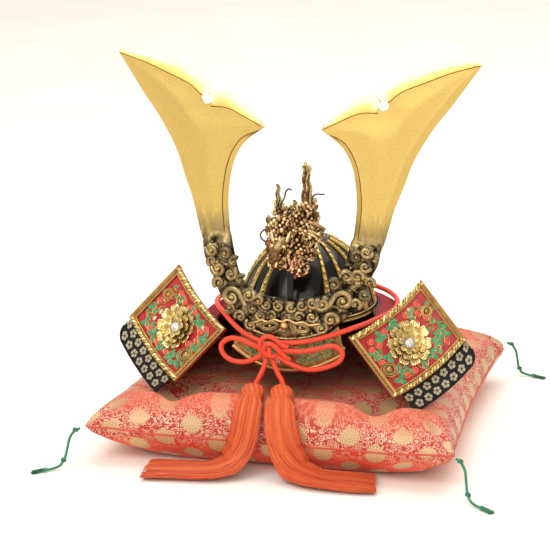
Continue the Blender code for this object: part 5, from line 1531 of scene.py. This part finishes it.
def sweep_braid(shape, route, radius, step=0.8, sides=16):
    """Sweeps a braided cord along a route, and gives back the line in its middle."""
    line = even(smooth(route, 8), step)
    # Painted shade and highlight: the hollows between the braid's diamonds take the dark silk tone, the diamonds the
    # bright one.
    tones = [clamp((braid(tau * k / sides, i * step) - 0.90) * 7.0) for i in range(len(line)) for k in range(sides)]
    shape.sweep(line, radius, sides, 0, tones, bump=braid)
    return line


def make_cord(name, node_name, route, diameter, finish, step=0.8, sides=16):
    """A braided cord along a route."""
    cord = Shape()
    line = sweep_braid(cord, route, diameter / 2, step, sides)
    thing = cord.build(name, [finish], [node_name], 60)
    length_of(line) * MM
    return thing


def make_chin_cord():
    """The vermilion chin cord: the loop round the helmet, the bow, its knot and the two tails."""
    wide = bpy.context.scene.kabuto_sizes.cord_diameter / MM
    wraps = Shape()
    turns = (
        ((-23.0, -149, 122.5), (-25.4, -151, 130.0), (-24.6, -152, 139.5), (-19.5, -152.5, 145.5),
         (-12.5, -152, 146.0), (-5.5, -151, 141.5), (1.0, -150, 136.2), (7.5, -149, 134.0)),
        ((-19.0, -150, 121.0), (-20.6, -153, 129.5), (-18.6, -155, 136.6), (-13.0, -155.8, 138.6), (-7.0, -155, 135.6),
         (-1.0, -153.5, 129.0), (5.0, -151.5, 122.5), (9.6, -149.5, 119.2)),
        ((-11.0, -150, 120.0), (-13.4, -153.5, 127.5), (-14.4, -152, 133.0)),
        ((-26, -147, 132.5), (-21, -151.5, 128.0), (-15.5, -153.8, 124.5), (-9.0, -152.5, 122.6), (-4.5, -149, 124.5)),
    )
    for route in turns:
        sweep_braid(wraps, route, 0.48 * wide)
    knot = wraps.build("bow_knot_wraps", ["vermilion_braid"], ["bow_knot"], 60)
    make_cord("chin_cord", "chin_cord_loop", CHIN_LOOP_ROUTE, wide, "vermilion_braid", 0.9)
    for name, node_name, route in (("bow_left", "bow_loop_left", BOW_LEFT_ROUTE),
                                   ("bow_right", "bow_loop_right", BOW_RIGHT_ROUTE),
                                   ("tail_left", "cord_tail_left", TAIL_LEFT_ROUTE),
                                   ("tail_right", "cord_tail_right", TAIL_RIGHT_ROUTE)):
        make_cord(name, node_name, route, wide, "vermilion_braid")


def tassel_frame(rows, spot):
    """Centre, width and thickness ways of a tassel at a spot along its rows."""
    i = min(int(spot), len(rows) - 2)
    part = spot - i
    centres = [Vector(r[:3]) for r in rows]
    smooth_at = smooth([centres[max(i - 1, 0)], centres[i], centres[i + 1], centres[min(i + 2, len(rows) - 1)]], 10)
    base = smooth_at[10 + round(part * 10)]
    values = [rows[i][c] + (rows[i + 1][c] - rows[i][c]) * part for c in (3, 4, 5)]
    along = (centres[i + 1] - centres[i]).normalized()
    if i + 2 < len(rows):
        along = along.lerp((centres[i + 2] - centres[i + 1]).normalized(), part * 0.5).normalized()
    across = Vector((cos(radians(values[2])), sin(radians(values[2])), 0))
    across = (across - along * across.dot(along)).normalized()
    over = across.cross(along)
    if over.z < 0:
        over = -over
    return base, across * values[0], over * values[1]


def make_tassels():
    """The two orange silk tassels: a wound head over a full skirt of long strands."""
    for rows, word in ((TASSEL_LEFT, "left"), (TASSEL_RIGHT, "right")):
        tassel = Shape()
        draw = random.Random(40 if word == "left" else 41)
        # Head: a wound ball, then a bound neck
        head_rows, tones = [], []
        for k in range(25):
            spot = 3.15 * k / 24
            centre, wide, thick = tassel_frame(rows, spot)
            ball = 1.0 + 0.12 * sin(pi * min(1.0, spot / 2.6))
            ring, tone = [], []
            for m in range(48):
                turn = tau * m / 48
                # Painted shade: the grooves of the wound thread get a darker tone than its ridges.
                ridge = 0.5 + 0.5 * cos(12 * turn + 3.2 * spot)
                size = ball * (0.93 + 0.07 * ridge)
                ring.append(centre + wide * (size * cos(turn)) + thick * (size * 1.12 * sin(turn)))
                tone.append(0.25 + 0.6 * ridge)
            head_rows.append(ring)
            tones.append(tone)
        tassel.grid(head_rows, 0, tones, closed=True)
        tassel.face(reversed(range(48)))
        for m in range(3):
            centre, wide, thick = tassel_frame(rows, TASSEL_NECK - 0.15 + 0.12 * m)
            ring = around(centre, wide, thick * (1.1 / 1.04), 1.04, 36)
            tassel.sweep(ring + ring[:1], 0.8, 6, 0, 0.75)
        # A core in the darkest silk tone, painted shade, keeps light from passing between the strands.
        core, last = [], len(rows) - 1.35
        for k in range(40):
            centre, wide, thick = tassel_frame(rows, TASSEL_NECK + (last - TASSEL_NECK) * k / 39)
            core.append(around(centre, wide * 0.74, thick * 0.6, 1.0, 20))
        tassel.grid(core, 0, 0.05, closed=True)
        # Strands: long threads grouped in locks, uneven at their ends
        for k in range(300):
            turn = tau * (k / 300) + draw.uniform(-0.03, 0.03)
            depth = 0.80 + 0.22 * draw.random() ** 0.5
            end = len(rows) - 1 - draw.uniform(0.0, 0.5) ** 1.5
            lock = sin(9 * turn + (0.6 if word == "left" else 2.0))
            phase, sway = draw.uniform(0, tau), draw.uniform(0.01, 0.05)
            line = []
            for m in range(44):
                spot = 2.95 + (end - 2.95) * m / 43
                centre, wide, thick = tassel_frame(rows, spot)
                loose = smoothstep(3.0, 8.0, spot)
                angle = turn - 0.10 * lock * loose + sway * sin(phase + spot * 1.3) * loose
                far = depth * (1 + 0.05 * lock * loose + 0.05 * sin(phase + 2.1 * spot) * loose)
                place = centre + wide * (far * cos(angle)) + thick * (far * sin(angle))
                place.z = max(0.7, place.z)
                line.append(place)
            # Painted shade: the tone falls across each lock, and varies at random besides.
            tone = 0.16 + 0.34 * (0.5 - 0.5 * lock) + 0.5 * draw.random()
            tassel.sweep(line, [0.78] * 30 + [0.72 - 0.025 * m for m in range(14)], 4, 0, min(1.0, tone))
        tassel.build(f"silk_tassel_{word}", ["orange_tassel_silk"], [f"chin_tassel_{word}"], 80)


def make_corner_cords():
    """A thin green cord at each corner of the cushion, knotted along its way, with a frayed end."""
    for name, route, side in (("front_left", CORNER_FRONT_ROUTE, -1), ("front_right", CORNER_FRONT_ROUTE, 1),
                              ("rear_left", CORNER_REAR_ROUTE, -1), ("rear_right", CORNER_REAR_ROUTE, 1)):
        line = [Vector((side * p[0], p[1], p[2])) for p in route]
        draw = random.Random(len(name) * 7 + side)
        tassel = Shape()
        along = (line[-1] - line[-2])
        along.z = 0
        along.normalize()
        across = Vector((-along.y, along.x, 0))
        start = line[-1] + along * 0.4
        start.z = 3.0
        tassel.dome(start + along * 1.5, UP, 3.0, 2.6, 0, 0.7, 12, 4)
        for _ in range(46):
            turn, far = draw.uniform(0, tau), draw.random() ** 0.5
            spread, reach = draw.uniform(-1, 1), draw.uniform(13.5, 17.5)
            strand = []
            for m in range(8):
                share = m / 7
                place = start + along * (1 + reach * share) + across * (
                    2.2 * far * cos(turn) * (1 - 0.3 * share) + 3.4 * spread * share ** 1.6)
                place.z = max(0.45, 3.0 + 2.2 * far * sin(turn) - 1.6 * share)
                strand.append(place)
            tassel.sweep(strand, [0.42, 0.42, 0.42, 0.4, 0.38, 0.34, 0.3, 0.2], 4, 0, draw.uniform(0.2, 0.9))
        # Knots tied in the cord
        cord_line = smooth(line, 6)
        for share in (0.12, 0.62):
            spot = cord_line[int(share * (len(cord_line) - 1))]
            loop = [spot + Vector((2.3 * cos(t * 0.9), 2.3 * sin(t * 0.9), 1.5 * sin(t * 0.55) + 0.3))
                    for t in range(15)]
            tassel.sweep(loop, 1.25, 7, 0, 0.6)
        fringe = tassel.build("frayed_end_" + name, ["green_corner_silk"], ["corner_tassel_" + name], 60)
        make_cord("corner_cord_braid_" + name, "corner_cord_" + name, [tuple(p) for p in line], 3.2,
                  "green_corner_silk", 0.6, 10)


# Where the helmet presses the cushion flat, as in the part's source
PRESS_ACROSS = SKIRT_SIDE_FOOT + 14
PRESS_FRONT = 158.4
PRESS_REAR = SKIRT_REAR_FOOT + 14
CUSHION_HALF = (221, 224)
CUSHION_CENTRE_Y = -10
CUSHION_SEAM_SIDE = 34
CUSHION_SEAM_CORNER = 46
# The cloth turns down over the sides from this height; the factor evens out its length round the bend
UNROLL_FROM = 62
UNROLL_STRETCH = 0.85
BULGE_CLEARANCE = 2.0
PILLOW_VOXEL = 6
PILLOW_SMOOTHING = 9
PILLOW_FRAMES = 20


def freedom(x, y):
    """0 where the helmet and its leather strips lie on the cushion, 1 well outside them."""
    along = PRESS_FRONT if y < BOWL_CENTRE[1] else PRESS_REAR
    reach = (abs(x / PRESS_ACROSS) ** 4 + abs((y - BOWL_CENTRE[1]) / along) ** 4) ** 0.25
    free = smoothstep(1.0, 1.45, reach)
    out = clamp((abs(x) - FOLD_FOOT[0]) / PANEL_REACH[0])
    near = hypot(min(0.0, abs(x) - FOLD_FOOT[0]), y - FOLD_FOOT[1] - out * PANEL_REACH[1])
    return min(free, smoothstep(30, 58, near))


def seam_point(side, share):
    """A place on the cushion's seam: side 0 front, 1 right, 2 rear, 3 left; share from -1 to 1."""
    pull = (0.12, 0.075, 0.05, 0.075)[side]
    rise = CUSHION_SEAM_SIDE + (CUSHION_SEAM_CORNER - CUSHION_SEAM_SIDE) * share * share
    half_x, half_y = CUSHION_HALF
    inward = 1 - pull * (1 - share * share)
    if side in (0, 2):
        return Vector((half_x * share, CUSHION_CENTRE_Y + half_y * inward * (-1 if side == 0 else 1), rise))
    return Vector((half_x * inward * (1 if side == 1 else -1), CUSHION_CENTRE_Y + half_y * share, rise))


def applied(thing):
    """Gives the object the mesh that its modifiers make, and takes them off."""
    made = bpy.data.meshes.new_from_object(thing.evaluated_get(bpy.context.evaluated_depsgraph_get()))
    thing.modifiers.clear()
    thing.data = made


def swell(thing, cap):
    """Fills the pillow by a cloth simulation with pressure; no point moves further than cap."""
    rest = [v.co.copy() for v in thing.data.vertices]
    held = thing.vertex_groups.new(name="held")
    for v in thing.data.vertices:
        hold = 1 - freedom(v.co.x * TO_MM, v.co.y * TO_MM) * smoothstep(1, 9, v.co.z * TO_MM)
        if hold > 0.01:
            held.add([v.index], hold, "REPLACE")
    cloth = thing.modifiers.new("cloth", "CLOTH")
    cloth.settings.quality = 5
    cloth.settings.use_pressure = True
    cloth.settings.uniform_pressure_force = 4
    cloth.settings.vertex_group_mass = "held"
    cloth.settings.tension_stiffness = 8
    cloth.settings.bending_stiffness = 0.3
    cloth.settings.effector_weights.gravity = 0
    for number in range(1, PILLOW_FRAMES + 1):
        bpy.context.scene.frame_set(number)
    applied(thing)
    bpy.context.scene.frame_set(1)
    for v, start in zip(thing.data.vertices, rest):
        move = v.co - start
        if move.length > cap:
            v.co = start + move.normalized() * cap


def bulge(mesh, most):
    """Lifts the pillow before the helmet's foot by at most so much, where the pieces leave room."""
    points, faces = [], []
    for name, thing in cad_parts.items():
        if not name.startswith(("cushion", "corner_")):
            shift = len(points)
            points += [v.co.copy() for v in thing.data.vertices]
            faces += [[shift + i for i in p.vertices] for p in thing.data.polygons]
    pieces = BVHTree.FromPolygons(points, faces)
    for v in mesh.vertices:
        x, y, z = v.co * TO_MM
        share = (smoothstep(-205, -182, y) * smoothstep(-152, -166, y) * smoothstep(185, 140, abs(x))
                 * smoothstep(30, 48, z))
        if share > 0:
            room = pieces.find_nearest(v.co)[3] / MM - BULGE_CLEARANCE
            v.co.z += share * clamp(room, 0.0, most) * MM


def unroll(mesh):
    """Lays the brocade on the pillow: flat on top, then down the sides and under the seam."""
    half_x, half_y = CUSHION_HALF
    spots = []
    for v, normal in zip(mesh.vertices, mesh.vertex_normals):
        x, y = v.co.x * TO_MM, v.co.y * TO_MM - CUSHION_CENTRE_Y
        sideways = smoothstep(-0.1, 0.1, abs(x) / half_x - abs(y) / half_y)
        fall = UNROLL_STRETCH * max(0.0, UNROLL_FROM - v.co.z * TO_MM)
        reach_x, reach_y = abs(x) + fall * sideways, abs(y) + fall * (1 - sideways)
        if normal.vector.z < 0:
            seam_x = abs(seam_point(1, clamp(y / half_y, -1.0)).x)
            seam_y = abs(seam_point(2 if y > 0 else 0, clamp(x / half_x, -1.0)).y - CUSHION_CENTRE_Y)
            reach_x += 2 * sideways * (seam_x - abs(x))
            reach_y += 2 * (1 - sideways) * (seam_y - abs(y))
        spots.append((copysign(reach_x, x) * MM, copysign(reach_y, y) * MM))
    layer = mesh.uv_layers.new(name="cloth")
    for loop in mesh.loops:
        layer.data[loop.index].uv = spots[loop.vertex_index]


def make_cushion():
    """The stuffed brocade pillow, swelled by simulation, with pinched corners, creases and a seam."""
    chosen = bpy.context.scene.kabuto_sizes
    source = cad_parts["cushion"]
    pillow = put("brocade_cushion", source.data.copy())
    voxel = pillow.modifiers.new("voxels", "REMESH")
    voxel.mode = "VOXEL"
    voxel.voxel_size = PILLOW_VOXEL * MM
    even_out = pillow.modifiers.new("even", "SMOOTH")
    even_out.iterations = PILLOW_SMOOTHING
    applied(pillow)
    swell(pillow, chosen.cushion_swell)
    fine = pillow.modifiers.new("fine", "SUBSURF")
    fine.levels = fine.render_levels = 1
    applied(pillow)
    mesh = pillow.data
    bulge(mesh, chosen.cushion_bulge / MM)
    mesh.materials.clear()
    mesh.materials.append(bpy.data.materials["red_gold_brocade"])
    corners = [Vector((x * CUSHION_HALF[0], CUSHION_CENTRE_Y + y * CUSHION_HALF[1])) for x in (-1, 1) for y in (-1, 1)]
    for v, normal in zip(mesh.vertices, [n.vector.copy() for n in mesh.vertex_normals]):
        place = v.co * TO_MM
        free = freedom(place.x, place.y) * smoothstep(2, 12, place.z)
        if free < 0.01:
            continue
        move = 1.8 * noise.noise(place * 0.017) + 0.5 * noise.noise(place * 0.06)
        for corner in corners:
            way = place.xy - corner
            far = way.length
            fade = smoothstep(150, 40, far) * smoothstep(4, 26, far)
            angle = atan2(way.y, way.x)
            bend = noise.noise(place * 0.02 + Vector((9, 0, 0)))
            move += 2.1 * fade * sin(13 * angle + 3.5 * bend + far * 0.01)
        pull = 1.3 * noise.ridged_multi_fractal(Vector((place.x * 0.012, place.y * 0.012, place.z * 0.05)),
                                                1.0, 2.0, 2, 0.9, 2.0)
        v.co += normal * ((move + 0.8 * pull - 1.4) * free * MM)
        v.co.z = max(0.0, v.co.z)
    mesh.update()
    tree = BVHTree.FromPolygons([v.co for v in mesh.vertices], [p.vertices for p in mesh.polygons])
    unroll(mesh)
    mesh.shade_smooth()
    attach(pillow, "root")
    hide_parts("cushion")
    piping = Shape()
    line = []
    for side in range(4):
        for k in range(40):
            share = -1 + 2 * k / 40
            share = share if side < 2 else -share
            spot = tree.find_nearest(seam_point(side, share) * MM)[0] * TO_MM
            line.append(spot)
    line.append(line[0].copy())
    line = even(line, 2.0)
    piping.sweep(line, 1.15, 7, 0, 0.55)
    piping.build("cushion_seam_cord", ["seam_silk"])


# The stage


def aim(thing, target):
    thing.rotation_euler = (Vector(target) * MM - thing.location).to_track_quat("-Z", "Y").to_euler()


# Soft boxes: place, what each looks at, size in metres, power in watts
SOFT_BOXES = {
    "key": ((-650, -1400, 1600), (0, 0, 180), 1.0, 14.0),
    "front": ((350, -1900, 1150), (0, 0, 180), 1.2, 9.0),
    "top": ((100, 500, 1700), (0, 0, 180), 1.6, 16.0),
    "backdrop": ((0, 2600, 2600), (-100, 3400, 0), 3.2, 42.0),
}
FLOOR_HALF = 9000


def make_stage():
    """A pale floor, soft studio light and the camera at the photograph's angle."""
    scene = bpy.context.scene
    scene.view_settings.view_transform = "Standard"
    eye = bpy.data.cameras.new("camera")
    eye.lens = CAMERA_FOCAL
    eye.sensor_width = SENSOR_WIDTH
    eye.clip_end = 100
    scene.camera = put("camera", eye, CAMERA_PLACE)
    aim(scene.camera, CAMERA_AIM)
    corners = [Vector((x, y, 0)) * (FLOOR_HALF * MM) for x, y in ((-1, -1), (1, -1), (1, 1), (-1, 1))]
    board = bpy.data.meshes.new("floor")
    board.from_pydata(corners, [], [(0, 1, 2, 3)])
    board.materials.append(bpy.data.materials["pale_floor"])
    floor = put("floor", board)
    for name, (place, target, size, power) in SOFT_BOXES.items():
        light = bpy.data.lights.new(name, "AREA")
        light.size = size
        light.energy = power
        aim(put(name, light, place), target)
    world = bpy.data.worlds.new("studio")
    world.use_nodes = True
    sky = world.node_tree.nodes["Background"]
    sky.inputs["Color"].default_value = linear("#FBF8F2")
    sky.inputs["Strength"].default_value = 0.8
    scene.world = world


# The add-on


class KabutoSizes(bpy.types.PropertyGroup):
    """Sizes that a user would change."""

    cord_diameter: FloatProperty(
        name="Cord diameter", description="Diameter of the braided chin cord", default=0.006, min=0.002, unit="LENGTH")
    cushion_swell: FloatProperty(
        name="Cushion swell", description="How far the stuffing may push the cushion out", default=0.008, min=0.0,
        max=0.01, unit="LENGTH")
    cushion_bulge: FloatProperty(
        name="Cushion bulge", description="How far the cushion rises before the helmet's foot", default=0.011,
        min=0.0, max=0.02, unit="LENGTH")


class KabutoColours(bpy.types.PropertyGroup):
    """Colours that a user would change."""

    horn_gold: FloatVectorProperty(
        name="Horn gold", description="Colour of the gilt horns", subtype="COLOR", default=linear("#DAB968")[:3],
        min=0.0, max=1.0)
    cord_red: FloatVectorProperty(
        name="Cord red", description="Colour of the chin cord", subtype="COLOR", default=linear("#E43A1E")[:3],
        min=0.0, max=1.0)
    tassel_orange: FloatVectorProperty(
        name="Tassel orange", description="Colour of the two silk tassels", subtype="COLOR",
        default=linear("#CE4A10")[:3], min=0.0, max=1.0)
    lacing_crimson: FloatVectorProperty(
        name="Lacing crimson", description="Colour of the neck guard's silk lacing", subtype="COLOR",
        default=linear("#9C2230")[:3], min=0.0, max=1.0)
    corner_green: FloatVectorProperty(
        name="Corner green", description="Colour of the cushion's corner cords", subtype="COLOR",
        default=linear("#17603F")[:3], min=0.0, max=1.0)


class KABUTO_OT_stage(bpy.types.Operator):
    """Mixes the finishes and adds the floor, the lights and the camera"""

    bl_idname = "kabuto.stage"
    bl_label = "Stage"

    def execute(self, context):
        make_finishes()
        make_stage()
        return {"FINISHED"}


class KABUTO_OT_cords(bpy.types.Operator):
    """Braids the chin cord, its bow and tails, and the cushion's corner cords"""

    bl_idname = "kabuto.cords"
    bl_label = "Cords"

    def execute(self, context):
        make_chin_cord()
        make_corner_cords()
        return {"FINISHED"}


class KABUTO_OT_cushion(bpy.types.Operator):
    """Fills the brocade cushion"""

    bl_idname = "kabuto.cushion"
    bl_label = "Cushion"

    def execute(self, context):
        make_cushion()
        return {"FINISHED"}


class KABUTO_OT_bowl(bpy.types.Operator):
    """Builds the lacquered bowl, its ribs, band and crown"""

    bl_idname = "kabuto.bowl"
    bl_label = "Bowl"

    def execute(self, context):
        make_bowl()
        return {"FINISHED"}


class KABUTO_OT_neck_guard(bpy.types.Operator):
    """Builds the two laced plates of the neck guard"""

    bl_idname = "kabuto.neck_guard"
    bl_label = "Neck guard"

    def execute(self, context):
        make_neck_guard()
        return {"FINISHED"}


class KABUTO_OT_visor(bpy.types.Operator):
    """Builds the visor and its rim"""

    bl_idname = "kabuto.visor"
    bl_label = "Visor"

    def execute(self, context):
        make_visor()
        return {"FINISHED"}


class KABUTO_OT_turn_backs(bpy.types.Operator):
    """Builds the turn-backs: panels, borders, peonies and leather strips"""

    bl_idname = "kabuto.turn_backs"
    bl_label = "Turn-backs"

    def execute(self, context):
        make_turn_backs()
        return {"FINISHED"}


class KABUTO_OT_horns(bpy.types.Operator):
    """Cuts and bevels the two gilt horns"""

    bl_idname = "kabuto.horns"
    bl_label = "Horns"

    def execute(self, context):
        make_horns()
        return {"FINISHED"}


class KABUTO_OT_base(bpy.types.Operator):
    """Builds the cast base of the crest"""

    bl_idname = "kabuto.base"
    bl_label = "Cast base"

    def execute(self, context):
        make_base()
        return {"FINISHED"}


class KABUTO_OT_dragon(bpy.types.Operator):
    """Builds the dragon crest"""

    bl_idname = "kabuto.dragon"
    bl_label = "Dragon"

    def execute(self, context):
        make_dragon()
        return {"FINISHED"}


class KABUTO_OT_tassels(bpy.types.Operator):
    """Hangs the two silk tassels"""

    bl_idname = "kabuto.tassels"
    bl_label = "Tassels"

    def execute(self, context):
        make_tassels()
        return {"FINISHED"}


OPERATORS = (
    KABUTO_OT_stage, KABUTO_OT_cords, KABUTO_OT_cushion, KABUTO_OT_bowl, KABUTO_OT_neck_guard, KABUTO_OT_visor,
    KABUTO_OT_turn_backs, KABUTO_OT_horns, KABUTO_OT_base, KABUTO_OT_dragon, KABUTO_OT_tassels,
)


class KABUTO_PT_panel(bpy.types.Panel):
    """Lists the helmet's sizes, colours and operators in the sidebar"""

    bl_label = "Kabuto"
    bl_space_type = "VIEW_3D"
    bl_region_type = "UI"
    bl_category = "Kabuto"

    def draw(self, context):
        for group in (context.scene.kabuto_sizes, context.scene.kabuto_colours):
            for name in group.__annotations__:
                self.layout.prop(group, name)
        for kind in OPERATORS:
            self.layout.operator(kind.bl_idname)


CLASSES = (KabutoSizes, KabutoColours, *OPERATORS, KABUTO_PT_panel)


def register():
    for kind in CLASSES:
        bpy.utils.register_class(kind)
    bpy.types.Scene.kabuto_sizes = PointerProperty(type=KabutoSizes)
    bpy.types.Scene.kabuto_colours = PointerProperty(type=KabutoColours)


def unregister():
    del bpy.types.Scene.kabuto_colours
    del bpy.types.Scene.kabuto_sizes
    for kind in reversed(CLASSES):
        bpy.utils.unregister_class(kind)


def main():
    register()
    for kind in OPERATORS:
        getattr(bpy.ops.kabuto, kind.bl_idname.split(".")[1])()


if __name__ == "__main__":
    main()
